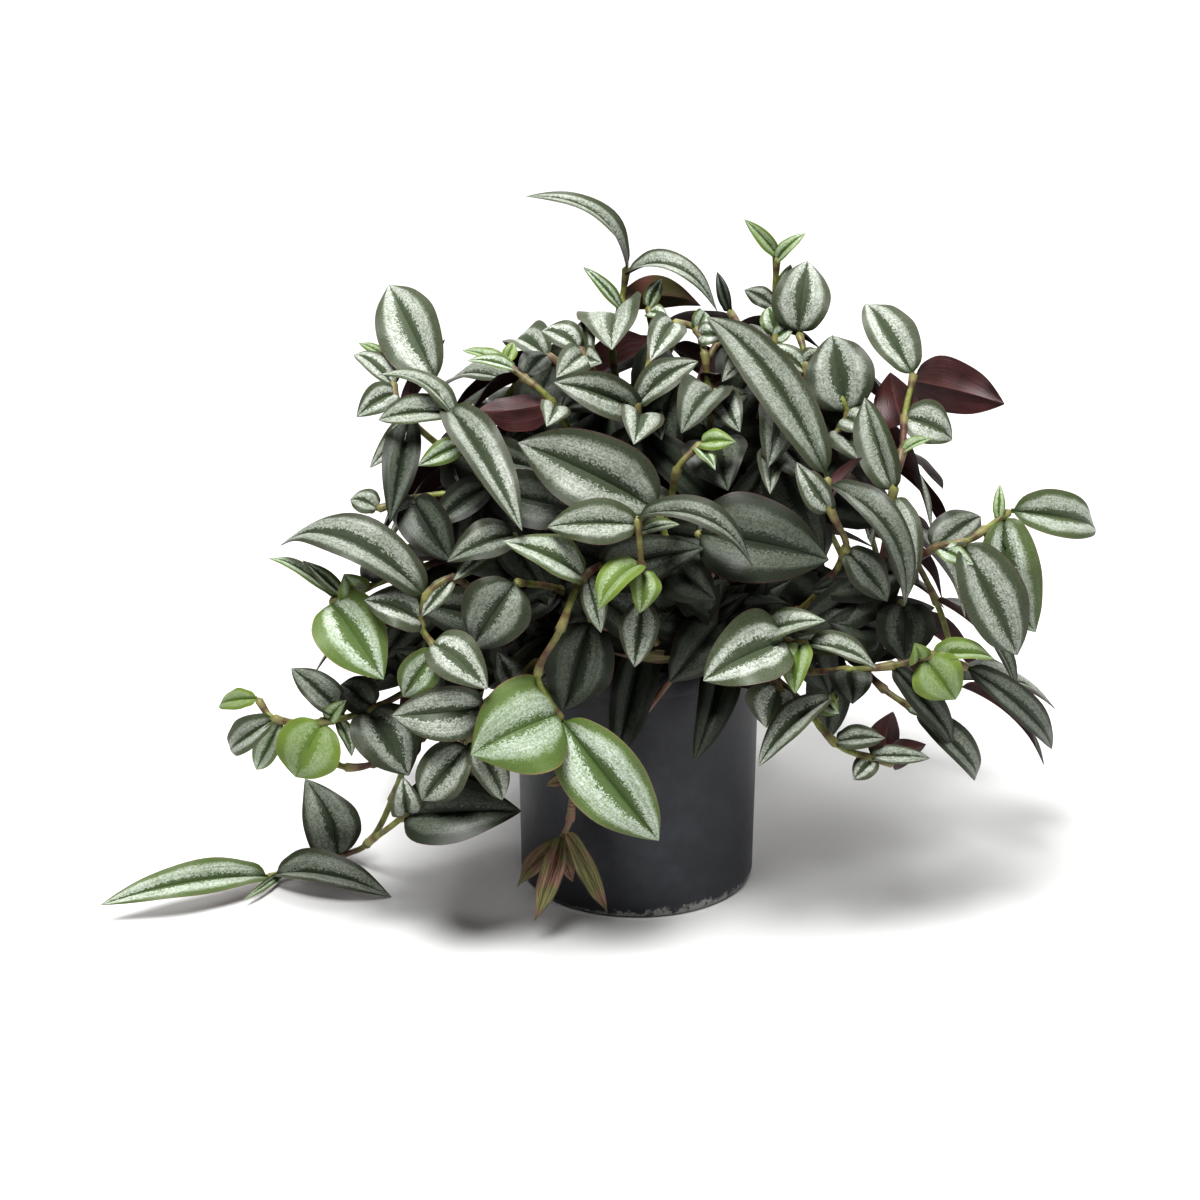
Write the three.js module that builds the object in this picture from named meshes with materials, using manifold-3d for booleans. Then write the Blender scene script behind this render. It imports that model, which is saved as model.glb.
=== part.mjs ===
// A trailing potted plant: a full mound of silver-striped, pointed leaves in a round nursery pot.
// Millimetres, +Z up. The origin is the centre of the pot's base, on the surface that it stands on.
// The pot is one thin shell and the soil one plain body. Each leafy stem is a solid of its own: a round
// stem rooted in its hole in the soil, fused with the leaves that grow from it.
import * as THREE from 'three'
import Module from 'manifold-3d'

const wasm = await Module()
wasm.setup()

// The pot
const POT_HEIGHT = 128
const RIM_RADIUS = 60
const RIM_BAND = 13
const WALL_TOP_RADIUS = 59.2
const WALL_FOOT_RADIUS = 58
const FOOT_RADIUS = 56
const FOOT_ROUNDING = 2.5
const WALL = 1.6
const POT_SIDES = 30
const DRAINS = 6
const DRAIN_RING_RADIUS = 40
const DRAIN_RADIUS = 4

// The soil
const SOIL_TOP = 112
const SOIL_GAP = 0.3
const HOLE_DEPTH = 13
const HOLE_GAP = 0.35
const HOLE_FIELD = 45

// Stems and leaves
const STEM_SIDES = 4
const STEM_ROOT_RADIUS = 2.1
const STEM_TIP_RADIUS = 1.5
const BLADE = 0.9
const CLEAR = 0.45
const LONG_STRETCH = 60
const WIDE_BLADE = 32
const SLIM_BLADE = 16
const TINY_BLADE = 9.5
const FULL = 1.05
const OWN_FREE = 0.09
const LEAF_STEP = 3.2
const STALK = 4.2
const STALK_HALF = 0.9
const FOLD_BASE = 38
const FOLD_TIP = 12

// The plant is laid out in the view that shows it best: a picture of 1200 x 1200 dots, seen from the front
// and a little above. A place is a dot in that picture and a depth behind the mound's rounded front.
const VIEW_DOWN = 20
const VIEW_DOTS = 2400
const VIEW_DISTANCE = 1162
const VIEW_AIM = [-18.5, 0, 142]
const MOUND_FRONT = 115
const MOUND_MIDDLE = 650
const MOUND_HALF = 470
const MOUND_CREST = 300
const MOUND_BELLY = 600

const rad = (degrees) => (degrees * Math.PI) / 180
const add = (a, b, k = 1) => [a[0] + b[0] * k, a[1] + b[1] * k, a[2] + b[2] * k]
const sub = (a, b) => add(a, b, -1)
const dot = (a, b) => a[0] * b[0] + a[1] * b[1] + a[2] * b[2]
const cross = (a, b) => [a[1] * b[2] - a[2] * b[1], a[2] * b[0] - a[0] * b[2], a[0] * b[1] - a[1] * b[0]]
const size = (a) => Math.hypot(a[0], a[1], a[2])
const unit = (a) => a.map((v) => v / size(a))
const between = (a, b, t) => a + (b - a) * t

// a turned about a unit axis
function turn(a, axis, degrees) {
  const c = Math.cos(rad(degrees))
  const s = Math.sin(rad(degrees))
  return add(add(a.map((v) => v * c), cross(axis, a), s), axis, dot(axis, a) * (1 - c))
}

// Where the line of sight through a dot meets the upright plane at y
const EYE = [
  VIEW_AIM[0],
  -VIEW_DISTANCE * Math.cos(rad(VIEW_DOWN)),
  VIEW_AIM[2] + VIEW_DISTANCE * Math.sin(rad(VIEW_DOWN)),
]

function spot(across, down, y) {
  const right = (across - 600) / VIEW_DOTS
  const up = (600 - down) / VIEW_DOTS
  const c = Math.cos(rad(VIEW_DOWN))
  const s = Math.sin(rad(VIEW_DOWN))
  const ray = [right, c + up * s, -s + up * c]
  return add(EYE, ray, (y - EYE[1]) / ray[1])
}

// The mound's rounded front: deepest towards the viewer across its belly, and running back at the crest
function front(across, down) {
  const side = Math.min(1, Math.abs(across - MOUND_MIDDLE) / MOUND_HALF)
  const fall = Math.min(1, Math.max(0, (down - MOUND_CREST) / (MOUND_BELLY - MOUND_CREST)))
  return -MOUND_FRONT * Math.sqrt(1 - side * side) * Math.sin((fall * Math.PI) / 2)
}

// An even scatter from 0 to 1, by the fractions of steps of two golden numbers
const spread = (i, k) => (i * 0.618034 + k * 0.754878) % 1

// The plant's leafy stems, filled by the calls below
const stems = []

// A leaf: the stem's point that it grows from, its tip, its width, its roll about its own length from
// facing the viewer, how far it arches, how young and green it is, and how far it bows to its side
const leaf = (at, tip, wide, roll, arch, young, bow = 0) => ({ at, tip, wide, roll, arch, young, bow })

// A stem given by its points and leaves, whose depths are behind the mound's front
function stem(name, points, ...leaves) {
  const place = ([across, down, deep]) => spot(across, down, front(across, down) + deep)
  stems.push({ name, points: points.map(place), leaves: leaves.map((l) => ({ ...l, tip: place(l.tip) })) })
}

// A stem that hangs or lies clear of the mound, whose depths are distances behind the pot's axis
function loose(name, points, ...leaves) {
  const place = ([across, down, y]) => spot(across, down, y)
  stems.push({ name, points: points.map(place), leaves: leaves.map((l) => ({ ...l, tip: place(l.tip) })) })
}

// Front of the pot
stem("front_low", [[606, 566, 34], [581, 580, 14], [560, 630, 6], [538, 676, 12], [563, 722, 20]],
  leaf(4, [661, 843, 16], 37, -4, 8, 0.72),
  leaf(4, [470, 755, -6], 46, -8, 8, 0.7),
  leaf(1, [503, 541, 2], 22, -25, 6, 0.45),
  leaf(1, [601, 633, 8], 13, 10, 3, 0.25))
stem("front_shade", [[610, 590, 52], [588, 622, 24]],
  leaf(1, [563, 712, 26], 33, 10, 5, 0.05),
  leaf(0, [515, 685, 40], 18, 30, 4, 0.1))
stem("centre", [[655, 640, 40], [641, 600, 14], [641, 562, 2], [637, 514, -4]],
  leaf(3, [757, 567, -10], 17, 38, 17, 0.1),
  leaf(3, [547, 527, 2], 22, -15, 5, 0.3),
  leaf(3, [680, 524, 8], 8, 20, 2, 0.5),
  leaf(2, [598, 610, -8], 19, -35, 6, 1),
  leaf(2, [642, 612, -6], 16, 20, 4, 0.95),
  leaf(1, [634, 668, 8], 18, 5, 3, 0.2))
stem("centre_big", [[676, 616, 52], [672, 560, 26], [657, 508, 12]],
  leaf(2, [517, 442, 6], 38, -14, 7, 0.08),
  leaf(1, [716, 600, 14], 24, 12, 4, 0.05))
stem("centre_right", [[724, 612, 56], [712, 552, 34], [697, 532, 18]],
  leaf(2, [829, 560, 10], 42, 12, 7, 0.02),
  leaf(2, [752, 492, 22], 12, 60, 4, 0.0))
stem("centre_void", [[728, 650, 60], [722, 618, 40]],
  leaf(1, [669, 683, 30], 26, -20, 5, 0.0),
  leaf(1, [792, 604, 46], 22, 30, 5, 0.0))
stem("long_silver", [[800, 610, 56], [846, 548, 16], [830, 508, 6], [827, 474, 0]],
  leaf(3, [703, 312, -4], 24, -8, 13, 0.12, 5),
  leaf(3, [906, 608, -8], 18, 35, 20, 0.05),
  leaf(3, [822, 447, -4], 9, 150, 2, 0.0),
  leaf(3, [862, 456, -6], 8, 140, 2, 0.0),
  leaf(2, [800, 462, 8], 14, 10, 3, 0.15),
  leaf(1, [888, 602, 20], 18, 20, 4, 0.1))
stem("right_mid", [[850, 640, 64], [880, 566, 34], [894, 488, 8], [902, 450, 4], [905, 415, 6], [914, 373, 8]],
  leaf(2, [864, 397, 4], 21, 5, 6, 0.15),
  leaf(2, [908, 597, 0], 20, 10, 7, 0.15),
  leaf(3, [932, 438, -2], 7, 30, 2, 0.9),
  leaf(4, [955, 438, 4], 20, 20, 5, 0.3),
  leaf(4, [890, 372, 0], 22, 165, 4, 0.0),
  leaf(5, [866, 300, 8], 25, -4, 5, 0.2),
  leaf(5, [1005, 404, 2], 27, 170, 5, 0.0))
stem("right_far", [[840, 620, 66], [908, 566, 32], [940, 546, 12], [965, 542, 6], [987, 528, 4], [1013, 509, 0]],
  leaf(5, [1100, 528, 2], 25, 16, 6, 0.45),
  leaf(5, [1036, 633, -2], 30, 0, 6, 0.5, 5),
  leaf(5, [1000, 484, 0], 6, 10, 1, 0.9),
  leaf(3, [1012, 652, 8], 33, 10, 6, 0.08),
  leaf(4, [1020, 597, 6], 9, 20, 3, 0.2),
  leaf(2, [974, 566, 2], 10, 10, 2, 0.8),
  leaf(2, [982, 516, 18], 20, 20, 4, 0.1),
  leaf(1, [918, 584, 12], 10, 10, 2, 0.1))
stem("right_low", [[800, 672, 44], [850, 670, 18], [895, 665, 6], [935, 655, 0], [968, 668, 6]],
  leaf(3, [995, 658, 0], 15, 32, 3, 0.95),
  leaf(3, [956, 700, -6], 24, 0, 3, 1),
  leaf(3, [915, 643, -4], 12, -20, 2, 1),
  leaf(2, [958, 749, 4], 15, 20, 4, 0.05),
  leaf(4, [1053, 750, 8], 16, 30, 9, 0.05),
  leaf(1, [852, 706, 8], 20, 10, 3, 0.05))
stem("right_bottom", [[776, 672, 40], [804, 706, 20], [838, 745, 10], [878, 760, 6], [895, 764, 6]],
  leaf(4, [926, 744, 6], 14, 160, 3, 0.0),
  leaf(4, [896, 712, 8], 16, 150, 3, 0.0),
  leaf(3, [853, 780, 6], 12, -10, 2, 0.3),
  leaf(2, [886, 738, 4], 13, 20, 3, 0.15),
  leaf(3, [931, 758, 2], 10, 20, 2, 0.2))
stem("right_hook", [[850, 660, 60], [885, 690, 30], [918, 712, 16]],
  leaf(2, [990, 780, 8], 17, 35, 12, 0.1),
  leaf(2, [934, 714, 6], 8, 10, 1, 0.6))
stem("right_bunch", [[736, 622, 44], [768, 636, 16], [790, 642, 8], [812, 644, 4]],
  leaf(2, [702, 681, 0], 33, -18, 6, 0.35),
  leaf(1, [826, 620, -2], 17, 25, 5, 0.35),
  leaf(3, [877, 668, -4], 15, 28, 5, 0.25),
  leaf(3, [795, 694, -6], 15, -15, 3, 0.95),
  leaf(3, [856, 650, 8], 13, 20, 3, 0.4))
stem("right_under", [[752, 650, 54], [779, 689, 24], [812, 704, 16], [840, 697, 10]],
  leaf(1, [766, 728, 20], 27, 10, 4, 0.25),
  leaf(3, [758, 767, 6], 19, -30, 8, 0.3),
  leaf(3, [842, 711, 2], 13, 0, 2, 0.8))
stem("right_dark", [[830, 660, 66], [880, 630, 34], [905, 600, 24]],
  leaf(2, [905, 662, 16], 27, 5, 4, 0.05),
  leaf(1, [828, 622, 30], 24, -15, 4, 0.0),
  leaf(2, [884, 650, 26], 10, -20, 2, 0.3))
// Upper middle
stem("young_mid", [[668, 520, 44], [678, 468, 10], [704, 441, 2]],
  leaf(2, [736, 442, -4], 11, 20, 3, 0.95),
  leaf(2, [716, 470, 2], 9, 30, 2, 0.8),
  leaf(0, [628, 488, 40], 20, -20, 4, 0.1))
stem("mitten", [[704, 500, 60], [708, 440, 26], [716, 388, 10]],
  leaf(2, [681, 433, 4], 24, -22, 6, 0.12),
  leaf(2, [740, 432, 8], 17, 20, 4, 0.12),
  leaf(2, [750, 394, 16], 14, 20, 3, 0.1),
  leaf(1, [728, 491, 14], 30, 12, 5, 0.05))
stem("tall_mid", [[764, 500, 66], [776, 440, 30], [776, 399, 14], [760, 356, 12], [728, 309, 12]],
  leaf(3, [721, 381, 4], 18, -30, 5, 0.12),
  leaf(4, [717, 271, 10], 7, 0, 2, 0.0),
  leaf(3, [730, 336, 10], 13, -10, 3, 0.1),
  leaf(2, [768, 468, 12], 22, 12, 5, 0.1),
  leaf(1, [814, 484, 16], 23, 15, 5, 0.1),
  leaf(1, [770, 494, 18], 14, -10, 3, 0.15))
stem("fold_top", [[640, 474, 62], [638, 402, 18], [652, 350, 18], [649, 305, 10]],
  leaf(1, [699, 361, 6], 17, 30, 6, 0.15),
  leaf(1, [553, 381, 4], 21, -15, 5, 0.15),
  leaf(1, [634, 444, 8], 22, 10, 5, 0.15),
  leaf(1, [662, 440, 20], 16, 20, 4, 0.1),
  leaf(3, [662, 279, 8], 9, 20, 2, 0.6),
  leaf(3, [668, 318, 4], 9, 30, 2, 0.6))
stem("long_top", [[622, 410, 60], [612, 350, 30], [622, 300, 16], [627, 266, 16]],
  leaf(3, [525, 196, 12], 13, -50, 16, 0.25),
  leaf(3, [721, 312, 8], 15, 38, 19, 0.15),
  leaf(2, [702, 305, 14], 18, 150, 8, 0.5),
  leaf(2, [583, 266, 14], 8, -30, 2, 0.7),
  leaf(2, [612, 350, 2], 33, -5, 6, 0.2))
stem("tan_shoot", [[716, 440, 62], [708, 384, 28], [704, 350, 12], [695, 328, 8], [670, 322, 6]],
  leaf(4, [650, 361, 0], 18, -10, 4, 0.25),
  leaf(3, [704, 311, 6], 10, -10, 3, 0.5),
  leaf(3, [726, 338, 6], 12, 20, 3, 0.35),
  leaf(1, [716, 374, 14], 10, 150, 2, 0.0))
stem("young_top", [[752, 440, 70], [770, 380, 38], [776, 330, 16], [775, 300, 10], [777, 252, 10]],
  leaf(4, [744, 219, 10], 8, -20, 2, 0.9),
  leaf(4, [806, 233, 8], 8, 25, 3, 0.9),
  leaf(3, [791, 264, 12], 10, -10, 2, 0.55),
  leaf(3, [744, 290, 14], 11, -25, 3, 0.1),
  leaf(2, [768, 306, 8], 13, -10, 3, 0.6),
  leaf(2, [801, 320, 8], 11, 20, 2, 0.6),
  leaf(1, [750, 322, 30], 20, -20, 4, 0.1))
stem("broad_right", [[790, 460, 74], [806, 404, 36], [806, 362, 18], [798, 330, 12]],
  leaf(3, [808, 259, 10], 27, 5, 5, 0.15),
  leaf(2, [822, 350, 10], 12, 20, 2, 0.3),
  leaf(2, [770, 344, 14], 12, -20, 2, 0.4),
  leaf(1, [852, 392, 20], 16, 20, 3, 0.15))
stem("silver_right", [[806, 480, 72], [840, 430, 32], [848, 410, 20], [824, 378, 12]],
  leaf(2, [833, 338, 10], 32, 0, 5, 0.12),
  leaf(3, [868, 357, 4], 9, 35, 2, 0.55),
  leaf(1, [862, 462, 20], 20, 20, 4, 0.15),
  leaf(2, [874, 440, 16], 16, 20, 3, 0.2))
// Upper left
stem("purple_left", [[586, 470, 66], [550, 400, 16], [522, 376, 8], [503, 361, 6]],
  leaf(1, [478, 411, 8], 21, 165, 5, 0.0),
  leaf(1, [547, 426, 4], 15, 10, 3, 0.2),
  leaf(3, [514, 342, 4], 7, 0, 1, 1),
  leaf(3, [462, 350, 4], 9, -30, 2, 0.9),
  leaf(3, [466, 364, 2], 9, -40, 2, 0.6),
  leaf(2, [548, 356, 14], 14, 30, 3, 0.0))
stem("fold_left", [[606, 460, 72], [598, 392, 34], [588, 362, 14], [578, 346, 8]],
  leaf(3, [541, 330, 6], 16, -30, 4, 0.25),
  leaf(3, [556, 378, 2], 16, -15, 3, 0.25),
  leaf(3, [600, 362, 6], 12, 20, 3, 0.2),
  leaf(3, [584, 318, 12], 12, 10, 3, 0.2),
  leaf(1, [560, 410, 24], 22, -15, 4, 0.05))
stem("upper_left", [[530, 540, 66], [484, 484, 34], [462, 440, 12], [448, 405, 4], [436, 379, 6]],
  leaf(3, [523, 530, -6], 24, 14, 7, 0.12),
  leaf(3, [377, 420, 2], 16, -25, 5, 0.35),
  leaf(3, [370, 393, -2], 15, -58, 8, 0.3),
  leaf(4, [388, 281, 8], 32, 4, 5, 0.2),
  leaf(3, [474, 404, -2], 8, 20, 1, 0.5),
  leaf(2, [418, 466, 12], 12, -10, 2, 0.7),
  leaf(1, [431, 528, 26], 18, -10, 4, 0.05))
stem("pale_left", [[520, 500, 76], [440, 446, 40], [402, 410, 16], [393, 384, 10], [399, 362, 10]],
  leaf(2, [445, 339, 10], 10, 150, 3, 0.0),
  leaf(3, [354, 354, 8], 15, -30, 4, 0.3),
  leaf(3, [356, 417, 6], 15, -20, 4, 0.3),
  leaf(4, [358, 342, 10], 7, -20, 2, 0.9),
  leaf(2, [390, 522, 12], 19, 0, 4, 0.05),
  leaf(2, [370, 468, 14], 12, -10, 3, 0.2))
// Left flank
stem("big_left", [[520, 622, 54], [476, 592, 26], [450, 578, 10], [423, 600, 4], [421, 626, 4], [438, 652, 2]],
  leaf(3, [276, 541, -2], 27, -36, 20, 0.12),
  leaf(2, [421, 617, 2], 11, -10, 2, 0.3),
  leaf(4, [362, 603, -4], 22, -22, 6, 0.25),
  leaf(5, [402, 698, 2], 18, 0, 3, 0.75),
  leaf(5, [488, 690, -4], 23, 16, 6, 0.3),
  leaf(5, [436, 700, 14], 16, 0, 3, 0.1))
stem("round_left", [[560, 590, 44], [514, 582, 10]],
  leaf(1, [469, 650, 4], 32, -5, 5, 0.1),
  leaf(0, [500, 620, 40], 16, 0, 3, 0.05))
stem("green_left", [[460, 560, 60], [392, 578, 22], [352, 594, 8], [328, 603, 2]],
  leaf(3, [384, 680, -8], 33, 0, 5, 0.85),
  leaf(3, [267, 555, 2], 9, -35, 4, 0.8),
  leaf(3, [303, 562, 4], 8, -10, 1, 0.6),
  leaf(2, [344, 574, -2], 16, 0, 2, 0.9),
  leaf(1, [362, 560, 28], 20, -20, 4, 0.05))
stem("grey_left", [[540, 580, 66], [512, 534, 20]],
  leaf(1, [447, 562, 6], 21, -20, 5, 0.1),
  leaf(1, [455, 586, 12], 14, -30, 3, 0.35),
  leaf(0, [500, 500, 50], 18, -20, 4, 0.05))
stem("dark_left", [[490, 560, 76], [452, 496, 28], [410, 500, 26], [374, 510, 22]],
  leaf(1, [457, 554, 20], 19, 0, 4, 0.05),
  leaf(2, [452, 562, 26], 24, 10, 4, 0.05),
  leaf(3, [350, 500, 20], 13, -30, 3, 0.2),
  leaf(2, [398, 534, 24], 20, 0, 4, 0.1),
  leaf(0, [430, 500, 70], 20, -10, 4, 0.05))
stem("front_left", [[560, 652, 56], [512, 684, 22], [482, 708, 8], [467, 748, 8]],
  leaf(2, [393, 718, 0], 27, -12, 6, 0.15),
  leaf(3, [421, 803, 6], 25, -6, 5, 0.2),
  leaf(3, [503, 801, 12], 18, 20, 5, 0.2),
  leaf(1, [497, 652, 18], 14, 0, 3, 0.1))
stem("low_left", [[464, 650, 66], [408, 690, 28], [364, 712, 12], [320, 722, 2], [273, 718, 0], [256, 696, 0]],
  leaf(5, [218, 706, 2], 11, -25, 3, 1),
  leaf(4, [228, 751, 4], 17, -10, 4, 0.35),
  leaf(3, [295, 779, -6], 31, -5, 4, 1),
  leaf(3, [346, 700, 0], 9, 20, 2, 0.9),
  leaf(3, [353, 757, 4], 8, 20, 2, 0.8),
  leaf(4, [251, 780, 10], 14, 0, 3, 0.8),
  leaf(3, [291, 668, 10], 17, -15, 4, 0.1),
  leaf(2, [409, 776, 6], 33, 12, 6, 0.05),
  leaf(2, [340, 682, 14], 18, -10, 4, 0.05))
stem("low_left_end", [[470, 700, 66], [420, 740, 34], [372, 764, 14], [345, 767, 8], [322, 756, 6]],
  leaf(4, [304, 742, 8], 9, -10, 2, 0.8),
  leaf(1, [384, 742, 30], 20, -10, 4, 0.05))
stem("dark_low", [[500, 730, 50], [446, 776, 24], [400, 819, 12], [366, 844, 16]],
  leaf(2, [510, 806, 4], 33, 8, 6, 0.1),
  leaf(2, [402, 772, 8], 16, 0, 4, 0.2),
  leaf(1, [506, 786, 22], 26, 15, 5, 0.15),
  leaf(1, [430, 838, 14], 22, 0, 4, 0.1))
// A dried shoot that hangs down the front of the pot, and a long stem that runs out along the ground
loose("dried_shoot", [
  [708, 628, -42], [697, 646, -58], [632, 728, -67], [576, 785, -67], [570, 820, -67], [556, 850, -66]],
  leaf(3, [598, 812, -70], 9, 20, 2, 0.5),
  leaf(3, [545, 786, -70], 8, -20, 3, 0.4),
  leaf(5, [573, 882, -67], 9, 30, 1, 0.6),
  leaf(5, [515, 887, -70], 12, -20, 2, 0.5),
  leaf(5, [537, 916, -70], 13, 0, 2, 0.4),
  leaf(5, [607, 914, -68], 11, 20, 3, 0.5))
loose("trailing_stem", [
  [470, 640, -30], [420, 720, -36], [392, 800, -28], [366, 845, -8], [335, 857, 2], [300, 868, -10], [266, 878, -21]],
  leaf(6, [96, 917, -58], 21, -25, 9, 0.6),
  leaf(6, [393, 897, -38], 22, 30, 8, 0.15),
  leaf(4, [304, 778, 10], 30, 18, 9, 0.2, 7),
  leaf(6, [238, 904, -46], 5, 0, 1, 0.8))

// Old leaves low on each stem, which fill the mound's shaded inside, turned round the line of sight by one rule
const shade = (i, k, at) => {
  const a = 2 * Math.PI * spread(i + 3 * k, 20 + k)
  const way = unit([Math.cos(a), -0.3, 0.75 * Math.sin(a) - 0.15])
  const long = 44 + 20 * spread(i, 23 + k)
  const wide = 21 + 9 * spread(i, 26 + k)
  return { at, way, long, wide, roll: 0, arch: 4, young: 0.1 * spread(i, 30 + k), bow: 0, plain: true }
}
stems.forEach((s, i) => s.leaves.push(shade(i, 0, i % 2 ? -1 : 0)))

// The side and back of the mound, which the front view hides: stems that rise, arch over the rim and hang,
// spread round the pot by one rule, each with leaves in turn on its left and right
const BACK_STEMS = 14
const BACK_FIRST = 4
const BACK_LAST = 176
const BACK_REACH = [156, 150]
const BACK_ASIDE = 20
const BACK_CREST = 262

for (let i = 0; i < BACK_STEMS; i += 1) {
  const azimuth = rad(between(BACK_FIRST, BACK_LAST, i / (BACK_STEMS - 1)) + 8 * (spread(i, 1) - 0.5))
  const out = [Math.cos(azimuth), Math.sin(azimuth), 0]
  const aside = [-out[1], out[0], 0]
  const inner = i % 3 === 1
  const reach = Math.hypot(BACK_REACH[0] * out[0], BACK_REACH[1] * out[1]) * (inner ? 0.62 : 0.9)
  const crest = inner ? BACK_CREST : between(170, 232, spread(i, 2))
  const end = inner ? 205 : between(78, 128, spread(i, 3))
  const at = (share, height, sway) => add(add([BACK_ASIDE * share, 0, height], out, reach * share), aside, sway)
  const points = [
    at(0.36, crest - 26, 0),
    at(0.56, crest, 5 * (spread(i, 4) - 0.5)),
    at(0.76, between(crest, end, 0.22), 14 * (spread(i, 5) - 0.5)),
    at(0.92, between(crest, end, 0.6), 18 * (spread(i, 6) - 0.5)),
    at(1, end, 22 * (spread(i, 7) - 0.5)),
  ]
  const leaves = []
  for (let k = 1; k < points.length; k += 1) {
    for (const hand of k % 2 ? [-1] : [-1, 1]) {
      const turnOut = 48 + 26 * spread(i + k, 8 + hand)
      const droop = between(0.15, 1.05, k / points.length) + 0.3 * (spread(i, k) - 0.5)
      const along = unit(add(turn(out, [0, 0, 1], hand * turnOut * (k === 4 ? 0.45 : 1)), [0, 0, -1], droop))
      const long = 46 + 24 * spread(i * 2 + hand, k)
      leaves.push({
        at: k,
        tip: add(points[k], along, long),
        up: unit(add([0, 0, 1], out, 0.25 + 0.22 * k)),
        wide: 18 + 11 * spread(i + hand, k + 3),
        arch: 6,
        young: 0.5 * spread(i, k + hand + 9),
        bow: 0,
      })
    }
  }
  stems.push({ name: `back_stem_${String(i + 1).padStart(2, '0')}`, points, leaves })
}

// Holes in the soil, spaced evenly over a round field, and each stem takes the free one nearest its way out
const holes = stems.map((_, i) => {
  const r = HOLE_FIELD * Math.sqrt((i + 0.5) / stems.length)
  const a = i * 2.399963
  return [r * Math.cos(a), r * Math.sin(a)]
})
for (const s of stems) {
  const [x, y] = s.points[0]
  const pull = Math.min(1, HOLE_FIELD / Math.hypot(x, y)) * 0.75
  const far = (h) => Math.hypot(h[0] - x * pull, h[1] - y * pull)
  s.hole = holes.reduce((best, h) => (far(h) < far(best) ? h : best))
  holes.splice(holes.indexOf(s.hole), 1)
}

// A smooth line through points, a long stretch between two of them cut in two
function smooth(points) {
  const slope = points.map((p, i) => {
    const back = points[Math.max(0, i - 1)]
    const ahead = points[Math.min(points.length - 1, i + 1)]
    const long = size(sub(p, back)) + size(sub(ahead, p))
    return sub(ahead, back).map((v) => v / long)
  })
  const line = [points[0]]
  const stops = [0]
  for (let i = 0; i + 1 < points.length; i += 1) {
    const long = size(sub(points[i + 1], points[i]))
    const steps = long > LONG_STRETCH ? 2 : 1
    for (let k = 1; k <= steps; k += 1) {
      const t = k / steps
      const [a, c] = [(1 + 2 * t) * (1 - t) ** 2, t * t * (3 - 2 * t)]
      const [b, d] = [t * (1 - t) ** 2 * long, t * t * (t - 1) * long]
      line.push([0, 1, 2].map((j) => a * points[i][j] + b * slope[i][j] + c * points[i + 1][j] + d * slope[i + 1][j]))
    }
    stops.push(line.length - 1)
  }
  return { line, stops }
}

// A stem's line from the bottom of its hole, straight up out of the soil, over its shoulder and through its
// own points. The shoulder may be moved aside, and the first point half as far.
function route(s, shift) {
  const foot = [s.hole[0], s.hole[1], SOIL_TOP - HOLE_DEPTH + 0.4]
  const mouth = [s.hole[0], s.hole[1], SOIL_TOP + 3]
  const first = add(s.points[0], shift, 0.5)
  const shoulder = [
    between(mouth[0], first[0], 0.42),
    between(mouth[1], first[1], 0.42),
    Math.max(SOIL_TOP + 24, between(SOIL_TOP, first[2], 0.62)),
  ]
  const { line, stops } = smooth([mouth, add(shoulder, shift), first, ...s.points.slice(1)])
  return { line: [foot, ...line], stops: stops.slice(1).map((stop) => stop + 1) }
}

// The place on a line that lies a little way back from one of its corners
function stepBack(line, corner, step) {
  let from = corner
  let left = step
  while (from > 1 && size(sub(line[from - 1], line[from])) < left) {
    left -= size(sub(line[from - 1], line[from]))
    from -= 1
  }
  return add(line[from], unit(sub(line[from - 1], line[from])), left)
}

// Leaves that share a point stand a little apart along the stem, the first of them outermost. Each faces the
// viewer, rolled as stated, or the way it is told.
function settle(s) {
  s.leaves = s.leaves.map((l, i) => {
    const before = s.leaves.slice(0, i).filter((other) => other.at === l.at).length
    const base = stepBack(s.line, s.stops[l.at + 1], LEAF_STEP * (before + 0.5))
    const tip = l.tip ?? add(base, l.way, l.long)
    const along = unit(sub(tip, base))
    const aim = l.up ?? unit(sub(EYE, base))
    const facing = unit(add(aim, along, -dot(aim, along)))
    return { ...l, base, tip, normal: turn(facing, along, -(l.roll ?? 0)) }
  })
}

const stemRadius = (t) => between(STEM_ROOT_RADIUS, STEM_TIP_RADIUS, t)

// The least distance between two straight pieces, p to q and r to s
function apart(p, q, r, s) {
  const u = sub(q, p)
  const v = sub(s, r)
  const w = sub(p, r)
  const [a, b, c, d, e] = [dot(u, u), dot(u, v), dot(v, v), dot(u, w), dot(v, w)]
  const den = a * c - b * b
  const clamp = (t) => Math.min(1, Math.max(0, t))
  let m = den > 1e-9 ? clamp((b * e - c * d) / den) : 0
  const n = clamp((b * m + e) / c)
  m = clamp((b * n - d) / a)
  return size(sub(add(p, u, m), add(r, v, n)))
}

// Whether a stem's line keeps clear of the ground and of the lines before it
function clearLine(line, others) {
  if (line.some(([, , z]) => z < STEM_TIP_RADIUS + CLEAR)) return false
  for (const other of others) {
    for (let i = 0; i + 1 < line.length; i += 1) {
      for (let k = 0; k + 1 < other.length; k += 1) {
        const gap = stemRadius(i / (line.length - 1)) + stemRadius(k / (other.length - 1)) + CLEAR
        if (apart(line[i], line[i + 1], other[k], other[k + 1]) < gap) return false
      }
    }
  }
  return true
}

// Ways to move a shoulder aside, the smallest first
const SHIFTS = []
for (const lift of [0, 12, 24, 36, 48, 60, 72]) {
  for (const x of [0, 7, -7, 14, -14, 22, -22, 32, -32]) {
    for (const y of [0, 7, -7, 14, -14, 22, -22, 32, -32]) SHIFTS.push([x, y, lift])
  }
}
SHIFTS.sort((a, b) => size(a) - size(b))

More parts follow.
